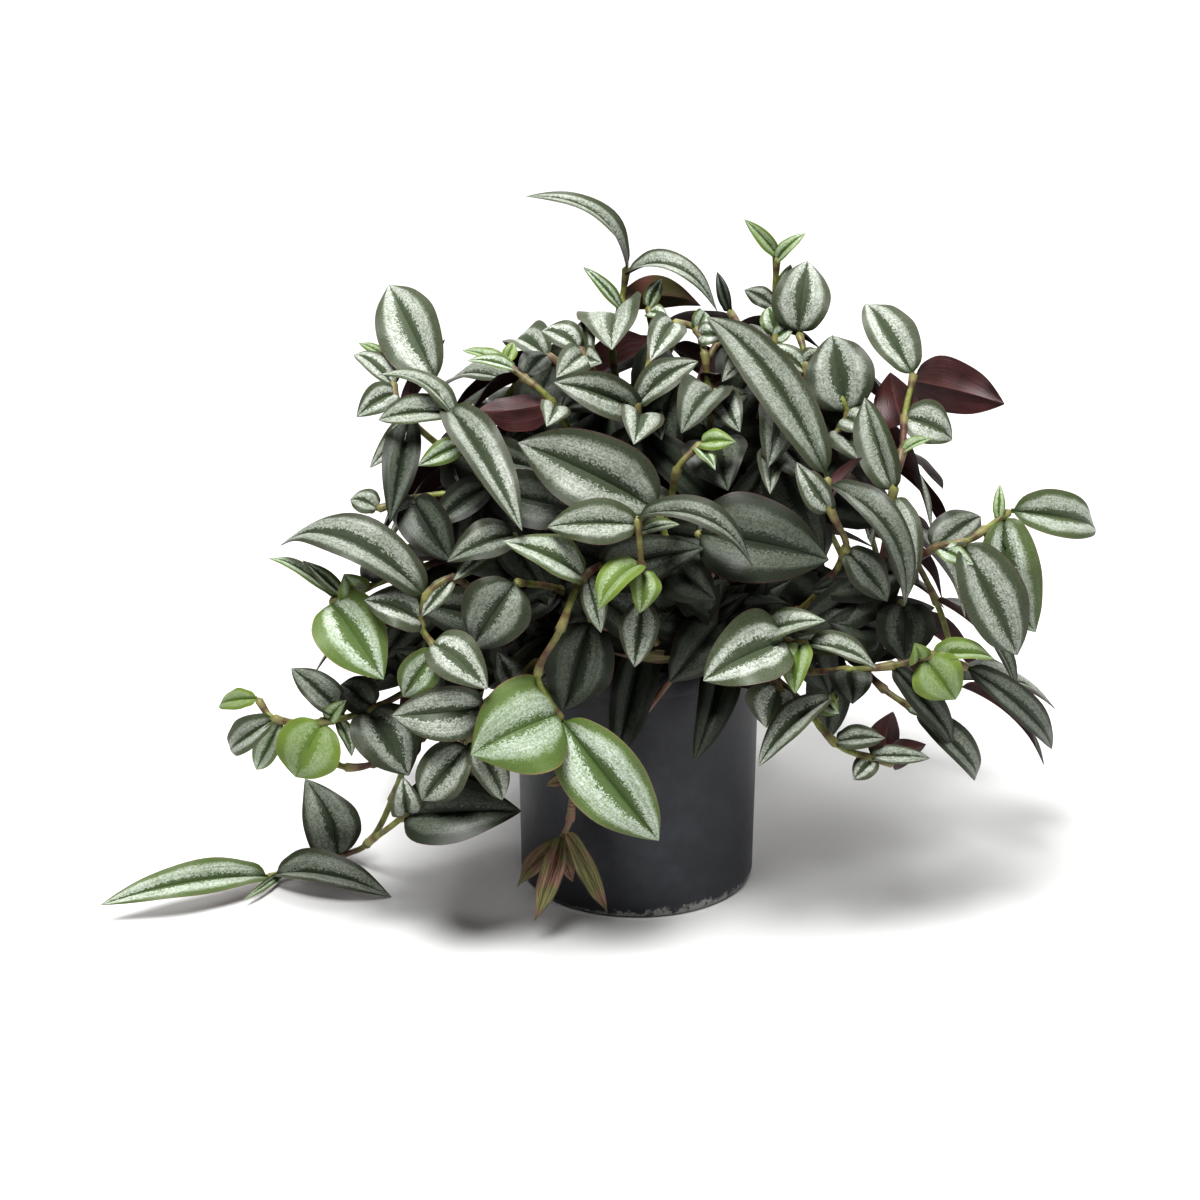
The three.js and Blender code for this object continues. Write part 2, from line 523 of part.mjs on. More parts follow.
function solid(positions, faces) {
  const mesh = new wasm.Mesh({
    numProp: 3,
    vertProperties: new Float32Array(positions.flat()),
    triVerts: new Uint32Array(faces.flat()),
  })
  return new wasm.Manifold(mesh)
}

// A closed skin over rings of equal count, capped at both ends
function skin(rings) {
  const n = rings[0].length
  const faces = []
  for (let i = 0; i + 1 < rings.length; i += 1) {
    for (let k = 0; k < n; k += 1) {
      const [a, b] = [i * n + k, i * n + ((k + 1) % n)]
      faces.push([a, b, b + n], [a, b + n, a + n])
    }
  }
  const last = (rings.length - 1) * n
  for (let k = 1; k + 1 < n; k += 1) faces.push([0, k + 1, k], [last, last + k, last + k + 1])
  return solid(rings.flat(), faces)
}

// Rings round a line, carried along it without twist
function tubeRings(line, sides, radius) {
  const heading = line.map((p, i) => unit(sub(line[Math.min(line.length - 1, i + 1)], line[Math.max(0, i - 1)])))
  let across = unit(cross(heading[0], Math.abs(heading[0][0]) < 0.9 ? [1, 0, 0] : [0, 1, 0]))
  return line.map((p, i) => {
    across = unit(add(across, heading[i], -dot(across, heading[i])))
    const other = cross(heading[i], across)
    const r = radius(i / (line.length - 1))
    return Array.from({ length: sides }, (_, k) => {
      const a = (k / sides) * 2 * Math.PI
      return add(add(p, across, r * Math.cos(a)), other, r * Math.sin(a))
    })
  })
}

// A blade's half width along its length: a rounded base, widest a third of the way up, and a drawn-out tip
const outline = (t) => (Math.sqrt(t) * (1 - t) ** 0.85) / 0.4107

// A leaf's blade: folded along its midrib, arched along its length and pointed, with the same cuts on both
// faces. Its root is a slim three-sided stalk that runs in to the stem's middle.
function blade(l, spare = 0, from = 0) {
  if (l.wide < SLIM_BLADE || l.plain) return flatBlade(l, spare, from)
  const inner = l.wide > WIDE_BLADE ? [0.12, 0.38, 0.74] : [0.22, 0.64]
  const chord = sub(l.tip, l.base)
  const side = unit(cross(chord, l.normal))
  const slim = Math.min(1, Math.max(0.35, size(chord) / l.wide / 2.2))
  const stations = [STALK / size(chord), ...inner, 1].map((t) => between(from, 1, t))
  const rings = stations.map((t, i) => {
    const hump = 4 * t * (1 - t)
    const centre = add(add(add(l.base, chord, t), l.normal, l.arch * hump), side, l.bow * hump)
    const tangent = add(add(chord, l.normal, l.arch * 4 * (1 - 2 * t)), side, l.bow * 4 * (1 - 2 * t))
    const up = unit(cross(side, tangent))
    const thick = BLADE / 2 + spare
    const half = (l.wide * outline(t) * FULL) / 2 + spare
    const fold = rad(between(FOLD_BASE, FOLD_TIP, t) * slim)
    const rim = (hand) => add(add(centre, side, hand * half * Math.cos(fold)), up, half * Math.sin(fold))
    if (i === 0) {
      const top = add(centre, up, thick * 0.6)
      return [add(top, side, -STALK_HALF - spare), add(centre, up, -thick), add(top, side, STALK_HALF + spare)]
    }
    const points = t === 1 ? [centre] : [rim(-1), centre, rim(1)]
    return points.flatMap((p) => [add(p, up, thick), add(p, up, -thick)])
  })
  const root = add(l.base, chord, from)
  const faces = [[0, 1, 2], [0, 2, 3], [0, 3, 1]]
  faces.push([1, 4, 5], [1, 5, 2], [2, 5, 7], [2, 7, 9], [2, 9, 3], [3, 9, 8], [3, 8, 6], [3, 6, 1], [1, 6, 4])
  for (let i = 0; i + 1 < inner.length; i += 1) {
    const [a, b] = [i * 6 + 4, i * 6 + 10]
    for (const k of [0, 2]) {
      faces.push([a + k, a + k + 2, b + k + 2], [a + k, b + k + 2, b + k])
      faces.push([a + k + 1, b + k + 3, a + k + 3], [a + k + 1, b + k + 1, b + k + 3])
    }
    faces.push([a, b, b + 1], [a, b + 1, a + 1], [a + 4, a + 5, b + 5], [a + 4, b + 5, b + 4])
  }
  const b = inner.length * 6 - 2
  const tip = b + 6
  faces.push([b, b + 2, tip], [b + 2, b + 4, tip], [b + 1, tip + 1, b + 3], [b + 3, tip + 1, b + 5])
  faces.push([b, tip, tip + 1], [b, tip + 1, b + 1], [b + 4, b + 5, tip + 1], [b + 4, tip + 1, tip])
  return solid([root, ...rings.flat()], faces)
}

// A small or shaded leaf's blade, flat across: its stalk, four corners at each station and two at its tip
function flatBlade(l, spare, from) {
  const chord = sub(l.tip, l.base)
  const side = unit(cross(chord, l.normal))
  const inner = l.wide < TINY_BLADE ? [0.42] : [0.3, 0.66]
  const stations = [STALK / size(chord), ...inner, 1].map((t) => between(from, 1, t))
  const rings = stations.map((t, i) => {
    const hump = 4 * t * (1 - t)
    const centre = add(add(add(l.base, chord, t), l.normal, l.arch * hump), side, l.bow * hump)
    const tangent = add(add(chord, l.normal, l.arch * 4 * (1 - 2 * t)), side, l.bow * 4 * (1 - 2 * t))
    const up = unit(cross(side, tangent))
    const half = (l.wide * outline(t) * FULL) / 2 + spare
    const thick = BLADE / 2 + spare
    if (i === 0) {
      const top = add(centre, up, thick * 0.6)
      return [add(top, side, -STALK_HALF - spare), add(centre, up, -thick), add(top, side, STALK_HALF + spare)]
    }
    const rims = t === 1 ? [centre] : [add(centre, side, -half), add(centre, side, half)]
    return rims.flatMap((p) => [add(p, up, thick), add(p, up, -thick)])
  })
  const faces = [[0, 1, 2], [0, 2, 3], [0, 3, 1]]
  faces.push([1, 4, 5], [1, 5, 2], [2, 5, 7], [2, 7, 3], [3, 7, 6], [3, 6, 1], [1, 6, 4])
  if (inner.length > 1) {
    faces.push([4, 8, 9], [4, 9, 5], [5, 9, 11], [5, 11, 7], [7, 11, 10], [7, 10, 6], [6, 10, 8], [6, 8, 4])
  }
  const a = inner.length * 4
  faces.push([a, a + 4, a + 5], [a, a + 5, a + 1], [a + 1, a + 5, a + 3])
  faces.push([a + 3, a + 5, a + 4], [a + 3, a + 4, a + 2], [a + 2, a + 4, a])
  return solid([add(l.base, chord, from), ...rings.flat()], faces)
}

// Small turns that a leaf may make about its base to hang clear of its neighbours, the first being none
const TURNS = [[0, 0, 0, 1]]
for (const long of [1, 0.82, 0.64]) {
  for (const roll of [0, 22, -22]) {
    for (const swing of [0, 9, -9, 20, -20]) {
      for (const tilt of [0, 8, -8, 16, -16, 26, -26, 38, -38]) TURNS.push([tilt, swing, roll, long])
    }
  }
}
const effort = ([tilt, swing, roll, long]) =>
  Math.abs(tilt) + 1.6 * Math.abs(swing) + 0.5 * Math.abs(roll) + 110 * (1 - long)
TURNS.sort((a, b) => effort(a) - effort(b))

function turned(l, [tilt, swing, roll, long]) {
  const chord = sub(l.tip, l.base)
  const side = unit(cross(chord, l.normal))
  const tipped = turn(turn(chord, side, tilt), l.normal, swing)
  const level = turn(turn(l.normal, side, tilt), unit(tipped), roll)
  return {
    ...l,
    tip: add(l.base, tipped, long),
    normal: unit(add(level, unit(tipped), -dot(level, unit(tipped)))),
    wide: l.wide * long,
    arch: l.arch * long,
    bow: l.bow * long,
  }
}

const boxOf = (shape) => shape.boundingBox()
const meets = (a, b) => [0, 1, 2].every((j) => a.min[j] <= b.max[j] && b.min[j] <= a.max[j])

// The pot: a straight-sided shell with a band under its lip, a rounded foot and drain holes round its floor
function revolve(profile, sides) {
  const rings = profile.map(([r, z]) => Array.from({ length: sides }, (_, k) => {
    const a = (k / sides) * 2 * Math.PI
    return [r * Math.cos(a), r * Math.sin(a), z]
  }))
  return skin(rings)
}

function makePot() {
  const rimInner = RIM_RADIUS - WALL - 1
  const outer = revolve([
    [FOOT_RADIUS, 0],
    [FOOT_RADIUS + 1.4, FOOT_ROUNDING * 0.4],
    [WALL_FOOT_RADIUS, FOOT_ROUNDING],
    [WALL_TOP_RADIUS, POT_HEIGHT - RIM_BAND],
    [RIM_RADIUS - 0.2, POT_HEIGHT - RIM_BAND],
    [RIM_RADIUS, POT_HEIGHT - 0.8],
    [RIM_RADIUS - 0.8, POT_HEIGHT],
  ], POT_SIDES)
  const inner = revolve([
    [FOOT_RADIUS - WALL, WALL],
    [WALL_FOOT_RADIUS - WALL, WALL + FOOT_ROUNDING],
    [rimInner - 0.4, POT_HEIGHT - RIM_BAND],
    [rimInner, POT_HEIGHT + 1],
  ], POT_SIDES)
  let pot = outer.subtract(inner)
  for (let i = 0; i < DRAINS; i += 1) {
    const a = (i / DRAINS) * 2 * Math.PI
    const centre = [DRAIN_RING_RADIUS * Math.cos(a), DRAIN_RING_RADIUS * Math.sin(a)]
    const ring = (z) => Array.from({ length: 10 }, (_, k) => {
      const b = (k / 10) * 2 * Math.PI
      return [centre[0] + DRAIN_RADIUS * Math.cos(b), centre[1] + DRAIN_RADIUS * Math.sin(b), z]
    })
    pot = pot.subtract(skin([ring(-1), ring(WALL + 1)]))
  }
  return pot
}

// The soil: it fills the pot and stands a hair inside its wall, with a plain hole for each stem
function makeSoil() {
  const rimInner = RIM_RADIUS - WALL - 1
  const inset = SOIL_GAP / Math.cos(Math.PI / POT_SIDES)
  let soil = revolve([
    [FOOT_RADIUS - WALL - inset - 0.2, WALL + SOIL_GAP],
    [WALL_FOOT_RADIUS - WALL - inset - 0.2, WALL + FOOT_ROUNDING],
    [rimInner - 0.4 - inset, SOIL_TOP],
  ], POT_SIDES)
  const wide = (STEM_ROOT_RADIUS + HOLE_GAP) / Math.cos(Math.PI / STEM_SIDES)
  for (const s of stems) {
    const ring = (z) => Array.from({ length: STEM_SIDES }, (_, k) => {
      const a = ((k + 0.5) / STEM_SIDES) * 2 * Math.PI
      return [s.hole[0] + wide * Math.cos(a), s.hole[1] + wide * Math.sin(a), z]
    })
    soil = soil.subtract(skin([ring(SOIL_TOP - HOLE_DEPTH), ring(SOIL_TOP + 1)]))
  }
  return soil
}

const pot = makePot()
const soil = makeSoil()

// Each stem in turn takes its first clear way out of the pot
const lines = []
const fat = (line) => skin(tubeRings(line, STEM_SIDES, (t) => stemRadius(t) + CLEAR / 2))
const clearPot = (line) => [pot, soil].every((shape) => fat(line).intersect(shape).isEmpty())
for (const s of stems) {
  const shift = SHIFTS.find((move) => {
    const { line } = route(s, move)
    return clearLine(line, lines) && clearPot(line)
  })
  Object.assign(s, route(s, shift))
  settle(s)
  lines.push(s.line)
}

// Every leaf in turn takes its first clear place; one with none is left off
const placed = [pot, soil].map((shape) => ({ shape, box: boxOf(shape), owner: null }))
for (const s of stems) {
  const shape = fat(s.line)
  placed.push({ shape, box: boxOf(shape), owner: s })
}
for (const s of stems) {
  s.blades = []
  const own = []
  for (const l of s.leaves) {
    const near = (trial) => {
      const shape = blade(trial, CLEAR / 2)
      const box = boxOf(shape)
      if (box.min[2] < 0.4) return null
      const free = blade(trial, CLEAR / 2, OWN_FREE)
      const hit = placed.some((p) => p.owner !== s && meets(box, p.box) && !shape.intersect(p.shape).isEmpty())
      const crossed = hit || own.some((p) => !free.intersect(p).isEmpty())
      return crossed ? null : { shape, box, owner: s, free }
    }
    for (const move of TURNS) {
      const trial = turned(l, move)
      const done = near(trial)
      if (done) {
        s.blades.push(trial)
        placed.push(done)
        own.push(done.free)
        break
      }
    }
  }
}

const COLOURS = { pot: 0x26272c, soil: 0x3a2d24, stem: 0x4f6b4a }
const group = new THREE.Group()

function show(name, shape, colour) {
  const { vertProperties, triVerts } = shape.getMesh()
  const geometry = new THREE.BufferGeometry()
  geometry.setAttribute('position', new THREE.BufferAttribute(new Float32Array(vertProperties), 3))
  geometry.setIndex(new THREE.BufferAttribute(new Uint32Array(triVerts), 1))
  geometry.computeVertexNormals()
  const mesh = new THREE.Mesh(geometry, new THREE.MeshStandardMaterial({ color: colour, roughness: 0.7 }))
  mesh.name = name
  group.add(mesh)
}

show('pot', pot, COLOURS.pot)
show('soil', soil, COLOURS.soil)
for (const s of stems) {
  const rings = tubeRings(s.line, STEM_SIDES, stemRadius)
  const body = s.blades.reduce((whole, l) => whole.add(blade(l)), skin(rings))
  show(s.name, body, COLOURS.stem)
}

export default group
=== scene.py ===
import math

import bpy
import numpy as np
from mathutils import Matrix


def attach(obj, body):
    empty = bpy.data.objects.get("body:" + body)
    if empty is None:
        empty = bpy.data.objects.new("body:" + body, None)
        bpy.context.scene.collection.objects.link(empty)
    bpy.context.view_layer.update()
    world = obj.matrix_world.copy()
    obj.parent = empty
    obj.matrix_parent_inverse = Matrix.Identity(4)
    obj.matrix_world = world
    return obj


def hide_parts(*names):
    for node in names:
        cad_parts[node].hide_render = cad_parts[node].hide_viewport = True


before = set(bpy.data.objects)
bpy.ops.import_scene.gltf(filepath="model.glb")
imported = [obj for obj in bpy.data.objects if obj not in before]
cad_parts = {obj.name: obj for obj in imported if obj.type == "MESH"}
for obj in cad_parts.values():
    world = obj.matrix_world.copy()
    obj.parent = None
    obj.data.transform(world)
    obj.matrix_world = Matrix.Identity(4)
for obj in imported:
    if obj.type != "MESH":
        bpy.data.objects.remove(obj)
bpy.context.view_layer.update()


# The nursery pot
# One thin injection-moulded shell of recycled polypropylene with a plain band under its lip and drain holes
# in its floor. It has been handled and stood on concrete: its skin is scuffed and its foot edge is chewed.
POT_HEIGHT = 128
POT_SIDES = 120
RIM_RADIUS = 60
RIM_BAND = 13
WALL_TOP_RADIUS = 59.2
WALL_FOOT_RADIUS = 58
FOOT_RADIUS = 56
WALL = 1.6
DRAINS = 6
DRAIN_RING_RADIUS = 40
DRAIN_RADIUS = 4
DRAIN_SIDES = 24
AXIS_GAP = 0.4
WORN_SIDE = (0.5, -0.866, 0)
MM = 0.001


def linear(code):
    """An sRGB hex colour as linear light: below 0.04045 a straight line, above it a power of 2.4."""
    parts = np.array([int(code[i : i + 2], 16) / 255 for i in (1, 3, 5)])
    light = np.where(parts <= 0.04045, parts / 12.92, ((parts + 0.055) / 1.055) ** 2.4)
    return (*light.tolist(), 1.0)


def add(tree, kind, links=None, **settings):
    """Adds one shader node; a Mix is one of colours. settings are its own properties; links are its inputs,
    each a plain value, a hex colour, a socket, or a node, which gives the first of its outputs in use."""
    node = tree.nodes.new("ShaderNode" + kind)
    if kind == "Mix":
        node.data_type = "RGBA"
    for key, value in settings.items():
        setattr(node, key, value)
    for key, value in (links or {}).items():
        if isinstance(value, str):
            value = linear(value)
        if isinstance(value, bpy.types.Node):
            value = next(socket for socket in value.outputs if socket.enabled)
        if isinstance(value, bpy.types.NodeSocket):
            tree.links.new(value, node.inputs[key])
        else:
            node.inputs[key].default_value = value
    return node


def new_material(name):
    """An empty material, its node tree, and the place on a piece, in metres of its own coordinates."""
    material = bpy.data.materials.new(name)
    material.use_nodes = True
    tree = material.node_tree
    tree.nodes.clear()
    return material, tree, add(tree, "TexCoord").outputs["Object"]


def finished(material, colour, roughness, index, relief, strength, depth):
    """A material with its last nodes: colour, roughness, index of refraction, and bumps of a depth in m."""
    tree = material.node_tree
    bump = add(tree, "Bump", {"Height": relief, "Strength": strength, "Distance": depth})
    looks = {"Base Color": colour, "Roughness": roughness, "IOR": index, "Normal": bump}
    add(tree, "OutputMaterial", {"Surface": add(tree, "BsdfPrincipled", looks)})
    return material


def piece(name, points, faces, materials, chosen=None, smooth=40):
    """A mesh object at the origin from points in millimetres, its edges sharp past an angle in degrees."""
    mesh = bpy.data.meshes.new(name)
    mesh.from_pydata((np.asarray(points) * MM).tolist(), [], faces)
    for material in materials:
        mesh.materials.append(material)
    if chosen is not None:
        mesh.polygons.foreach_set("material_index", np.asarray(chosen, np.int32))
    mesh.polygons.foreach_set("use_smooth", np.ones(len(mesh.polygons), bool))
    mesh.set_sharp_from_angle(angle=math.radians(smooth))
    mesh.validate()
    obj = bpy.data.objects.new(name, mesh)
    bpy.context.scene.collection.objects.link(obj)
    return obj


def grid_corners(rows, columns):
    """The four corners of each cell of a grid whose columns close on themselves, and its two flat caps."""
    a = np.arange(rows - 1)[:, None] * columns + np.arange(columns)
    b = np.arange(rows - 1)[:, None] * columns + (np.arange(columns) + 1) % columns
    last = (rows - 1) * columns
    caps = [list(range(columns - 1, -1, -1)), list(range(last, last + columns))]
    return a, b, b + columns, a + columns, caps


def grid_faces(rows, columns):
    """Quads over a grid whose columns close on themselves, with a flat cap on its first and last row."""
    *corners, caps = grid_corners(rows, columns)
    return np.stack(corners, -1).reshape(-1, 4).tolist() + caps


def turned_rings(profile, sides):
    """Rings of points: each (radius, height) of a profile carried once round the Z axis."""
    angle = np.arange(sides) / sides * 2 * np.pi
    radius, height = np.array(profile, float).T
    x = radius[:, None] * np.cos(angle)
    y = radius[:, None] * np.sin(angle)
    z = np.repeat(height[:, None], sides, 1)
    return np.stack([x, y, z], -1).reshape(-1, 3)


def nursery_plastic():
    """Moulded black polypropylene: satin, mottled, dusty, with a foot chewed pale where it was dragged."""
    material, tree, place = new_material("moulded_black_polypropylene")
    height = add(tree, "SeparateXYZ", {0: place}).outputs["Z"]
    cloud = add(tree, "TexNoise", {"Vector": place, "Scale": 42, "Detail": 6, "Roughness": 0.62})
    rubbed = add(tree, "MapRange", {"Value": cloud, "From Min": 0.46, "From Max": 0.72})
    skin = add(tree, "Mix", {0: rubbed, 6: "#22242a", 7: "#33353b"})
    dust = add(tree, "TexNoise", {"Vector": place, "Scale": 620, "Detail": 3, "Roughness": 0.7})
    specks = add(tree, "MapRange", {"Value": dust, "From Min": 0.66, "From Max": 0.74, "To Max": 0.35})
    dusty = add(tree, "Mix", {0: specks, 6: skin, 7: "#55565b"})
    ahead = add(tree, "VectorMath", {0: place, 1: WORN_SIDE}, operation="DOT_PRODUCT").outputs["Value"]
    worn_high = add(tree, "MapRange", {"Value": ahead, "From Min": 0.035, "From Max": 0.056,
                                       "To Min": 0.0065, "To Max": 0.016})
    low = add(tree, "MapRange", {"Value": height, "From Min": worn_high, "From Max": 0.0})
    chips = add(tree, "TexNoise", {"Vector": place, "Scale": 170, "Detail": 5, "Roughness": 0.75})
    near = add(tree, "Math", {0: low, 1: chips}, operation="MULTIPLY")
    worn = add(tree, "MapRange", {"Value": near, "From Min": 0.36, "From Max": 0.44})
    colour = add(tree, "Mix", {0: worn, 6: dusty, 7: "#8b8b88"})
    gloss = add(tree, "MapRange", {"Value": cloud, "To Min": 0.36, "To Max": 0.62})
    relief = add(tree, "Math", {0: dust, 1: chips}, operation="ADD")
    return finished(material, colour, gloss, 1.49, relief, 0.16, 0.0006)


def make_pot():
    """A cup turned from one closed profile of radii and heights, whose small steps round its edges, with its
    drain holes cut through the floor."""
    lip = RIM_RADIUS - WALL - 1
    outside = [
        (FOOT_RADIUS, 0), (FOOT_RADIUS + 0.9, 0.25), (FOOT_RADIUS + 1.6, 1.1), (WALL_FOOT_RADIUS, 2.6),
        (WALL_TOP_RADIUS, POT_HEIGHT - RIM_BAND - 0.4), (RIM_RADIUS - 0.2, POT_HEIGHT - RIM_BAND),
        (RIM_RADIUS - 0.1, POT_HEIGHT - RIM_BAND + 0.6), (RIM_RADIUS, POT_HEIGHT - 1),
        (RIM_RADIUS - 0.3, POT_HEIGHT - 0.3), (RIM_RADIUS - 0.9, POT_HEIGHT),
    ]
    inside = [
        (lip + 0.4, POT_HEIGHT), (lip, POT_HEIGHT - 0.6), (lip - 0.4, POT_HEIGHT - RIM_BAND),
        (WALL_FOOT_RADIUS - WALL, WALL + 2.5), (FOOT_RADIUS - WALL, WALL), (AXIS_GAP, WALL),
    ]
    profile = [(AXIS_GAP, 0), *outside, *inside]
    points = turned_rings(profile, POT_SIDES)
    pot = piece("pot_shell", points, grid_faces(len(profile), POT_SIDES), [nursery_plastic()], smooth=28)
    drain = turned_rings([(DRAIN_RADIUS, -2), (DRAIN_RADIUS, WALL + 2)], DRAIN_SIDES)
    for angle in np.arange(DRAINS) / DRAINS * 2 * math.pi:
        middle = np.array([math.cos(angle), math.sin(angle), 0]) * DRAIN_RING_RADIUS
        drill = piece("drill", drain + middle, grid_faces(2, DRAIN_SIDES), [])
        cut = pot.modifiers.new("drain", "BOOLEAN")
        cut.operation = "DIFFERENCE"
        cut.object = drill
        with bpy.context.temp_override(object=pot, active_object=pot):
            bpy.ops.object.modifier_apply(modifier=cut.name)
        bpy.data.objects.remove(drill)
    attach(pot, "root")
    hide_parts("pot")


make_pot()


# The potting soil
# Dark peat and bark, pressed in by hand to a short way below the lip. It is crumbly on top, where the stems
# come out of it, and plain where the pot hides it.
SOIL_TOP = 112
SOIL_RADIUS = 56.5
SOIL_CLEAR = 0.6
SOIL_SIDES = 96


def potting_soil():
    """Damp peat with bark: near-black crumbs of a millimetre or two, some of them brown, and a dull skin."""
    material, tree, place = new_material("peat_potting_soil")
    crumb = add(tree, "TexVoronoi", {"Vector": place, "Scale": 480})
    grit = add(tree, "TexNoise", {"Vector": place, "Scale": 300, "Detail": 6, "Roughness": 0.7})
    colour = add(tree, "Mix", {0: grit, 6: "#17110d", 7: "#4a3828"})
    relief = add(tree, "Math", {0: crumb, 1: grit}, operation="ADD")
    return finished(material, colour, 0.93, 1.4, relief, 0.8, 0.0015)


def make_soil():
    """A plug of soil: rings from the pot's floor to its top, and across a top that rolls by sums of sines."""
    wall = [(FOOT_RADIUS - WALL - SOIL_CLEAR, WALL + 0.3), (WALL_FOOT_RADIUS - WALL - SOIL_CLEAR, WALL + 2.6),
            (SOIL_RADIUS, SOIL_TOP - 1)]
    top = [(r, SOIL_TOP) for r in np.linspace(SOIL_RADIUS - 0.9, 0.5, 26)]
    points = turned_rings(wall + top, SOIL_SIDES)
    x, y = points[:, 0], points[:, 1]
    lump = 0.8 * np.sin(x * 0.31 + 1.1 * np.sin(y * 0.23)) + 0.6 * np.sin(y * 0.47 + 1.7) * np.cos(x * 0.39)
    lump += 0.5 * np.sin(x * 1.13 + y * 0.71) * np.sin(y * 0.97 - x * 0.31)
    points[:, 2] += np.where(np.arange(len(points)) >= len(wall) * SOIL_SIDES, lump, 0)
    faces = grid_faces(len(wall) + len(top), SOIL_SIDES)
    soil = piece("soil_plug", points, faces, [potting_soil()], smooth=70)
    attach(soil, "root")
    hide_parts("soil")


make_soil()


# How the plant is laid out
# Each leafy stem is given by a few points and leaves, as in the part's source: a place is a dot of the front
# view and a depth behind the mound's rounded front. The CAD solids say which small turn each leaf took.
VIEW_SIDE = 1200
VIEW_MIDDLE = VIEW_SIDE / 2
LENS = 72
SENSOR = 36
VIEW_DOTS = VIEW_SIDE * LENS / SENSOR
VIEW_DOWN = 20
VIEW_DISTANCE = 1162
VIEW_AIM = np.array([-18.5, 0, 142])
VIEW_COS, VIEW_SIN = math.cos(math.radians(VIEW_DOWN)), math.sin(math.radians(VIEW_DOWN))
EYE = VIEW_AIM + VIEW_DISTANCE * np.array([0, -VIEW_COS, VIEW_SIN])
MOUND_FRONT = 115
MOUND_MIDDLE = 650
MOUND_HALF = 470
MOUND_CREST = 300
MOUND_BELLY = 600
stems = []


def spot(across, down, y):
    """Where the line of sight through a dot meets the upright plane at y, in millimetres."""
    right, up = (across - VIEW_MIDDLE) / VIEW_DOTS, (VIEW_MIDDLE - down) / VIEW_DOTS
    ray = np.array([right, VIEW_COS + up * VIEW_SIN, -VIEW_SIN + up * VIEW_COS])
    return EYE + ray * (y - EYE[1]) / ray[1]


def mound(across, down, deep):
    """A place from its dot and its depth behind the mound's front, which runs back at its sides and crest."""
    side = min(1, abs(across - MOUND_MIDDLE) / MOUND_HALF)
    fall = min(1, max(0, (down - MOUND_CREST) / (MOUND_BELLY - MOUND_CREST)))
    return spot(across, down, deep - MOUND_FRONT * math.sqrt(1 - side * side) * math.sin(fall * math.pi / 2))


def leaf(place, at, tip, wide, roll, arch, young, bow=0):
    """A leaf: the stem's point it grows from, its tip, width, roll, arch, youth and sideways bow."""
    return {"at": at, "tip": place(*tip), "wide": wide, "roll": roll, "arch": arch, "young": young,
            "bow": bow}


def stem(name, points, *leaves, place=mound):
    """Notes a stem, given by its points and by what leaf reads for each of its leaves."""
    stems.append({"name": name, "points": [place(*point) for point in points],
                  "leaves": [leaf(place, *one) for one in leaves]})


# Front of the pot
stem("front_low", [[606, 566, 34], [581, 580, 14], [560, 630, 6], [538, 676, 12], [563, 722, 20]],
  (4, [661, 843, 16], 37, -4, 8, 0.72),
  (4, [470, 755, -6], 46, -8, 8, 0.7),
  (1, [503, 541, 2], 22, -25, 6, 0.45),
  (1, [601, 633, 8], 13, 10, 3, 0.25))
stem("front_shade", [[610, 590, 52], [588, 622, 24]],
  (1, [563, 712, 26], 33, 10, 5, 0.05),
  (0, [515, 685, 40], 18, 30, 4, 0.1))
stem("centre", [[655, 640, 40], [641, 600, 14], [641, 562, 2], [637, 514, -4]],
  (3, [757, 567, -10], 17, 38, 17, 0.1),
  (3, [547, 527, 2], 22, -15, 5, 0.3),
  (3, [680, 524, 8], 8, 20, 2, 0.5),
  (2, [598, 610, -8], 19, -35, 6, 1),
  (2, [642, 612, -6], 16, 20, 4, 0.95),
  (1, [634, 668, 8], 18, 5, 3, 0.2))
stem("centre_big", [[676, 616, 52], [672, 560, 26], [657, 508, 12]],
  (2, [517, 442, 6], 38, -14, 7, 0.12),
  (1, [716, 600, 14], 24, 12, 4, 0.05))
stem("centre_right", [[724, 612, 56], [712, 552, 34], [697, 532, 18]],
  (2, [829, 560, 10], 42, 12, 7, 0.06),
  (2, [752, 492, 22], 12, 60, 4, 0.0))
stem("centre_void", [[728, 650, 60], [722, 618, 40]],
  (1, [669, 683, 30], 26, -20, 5, 0.0),
  (1, [792, 604, 46], 22, 30, 5, 0.0))
stem("long_silver", [[800, 610, 56], [846, 548, 16], [830, 508, 6], [827, 474, 0]],
  (3, [703, 312, -4], 24, -8, 13, 0.12, 5),
  (3, [906, 608, -8], 18, 35, 20, 0.09),
  (3, [822, 447, -4], 9, 150, 2, 0.0),
  (3, [862, 456, -6], 8, 140, 2, 0.0),
  (2, [800, 462, 8], 14, 10, 3, 0.15),
  (1, [888, 602, 20], 18, 20, 4, 0.1))
stem("right_mid",
  [[850, 640, 64], [880, 566, 34], [894, 488, 8], [902, 450, 4], [905, 415, 6], [914, 373, 8]],
  (2, [864, 397, 4], 21, 5, 6, 0.15),
  (2, [908, 597, 0], 20, 10, 7, 0.15),
  (3, [932, 438, -2], 7, 30, 2, 0.9),
  (4, [955, 438, 4], 20, 20, 5, 0.3),
  (4, [890, 372, 0], 22, 165, 4, 0.0),
  (5, [866, 300, 8], 25, -4, 5, 0.2),
  (5, [1005, 404, 2], 27, 170, 5, 0.0))
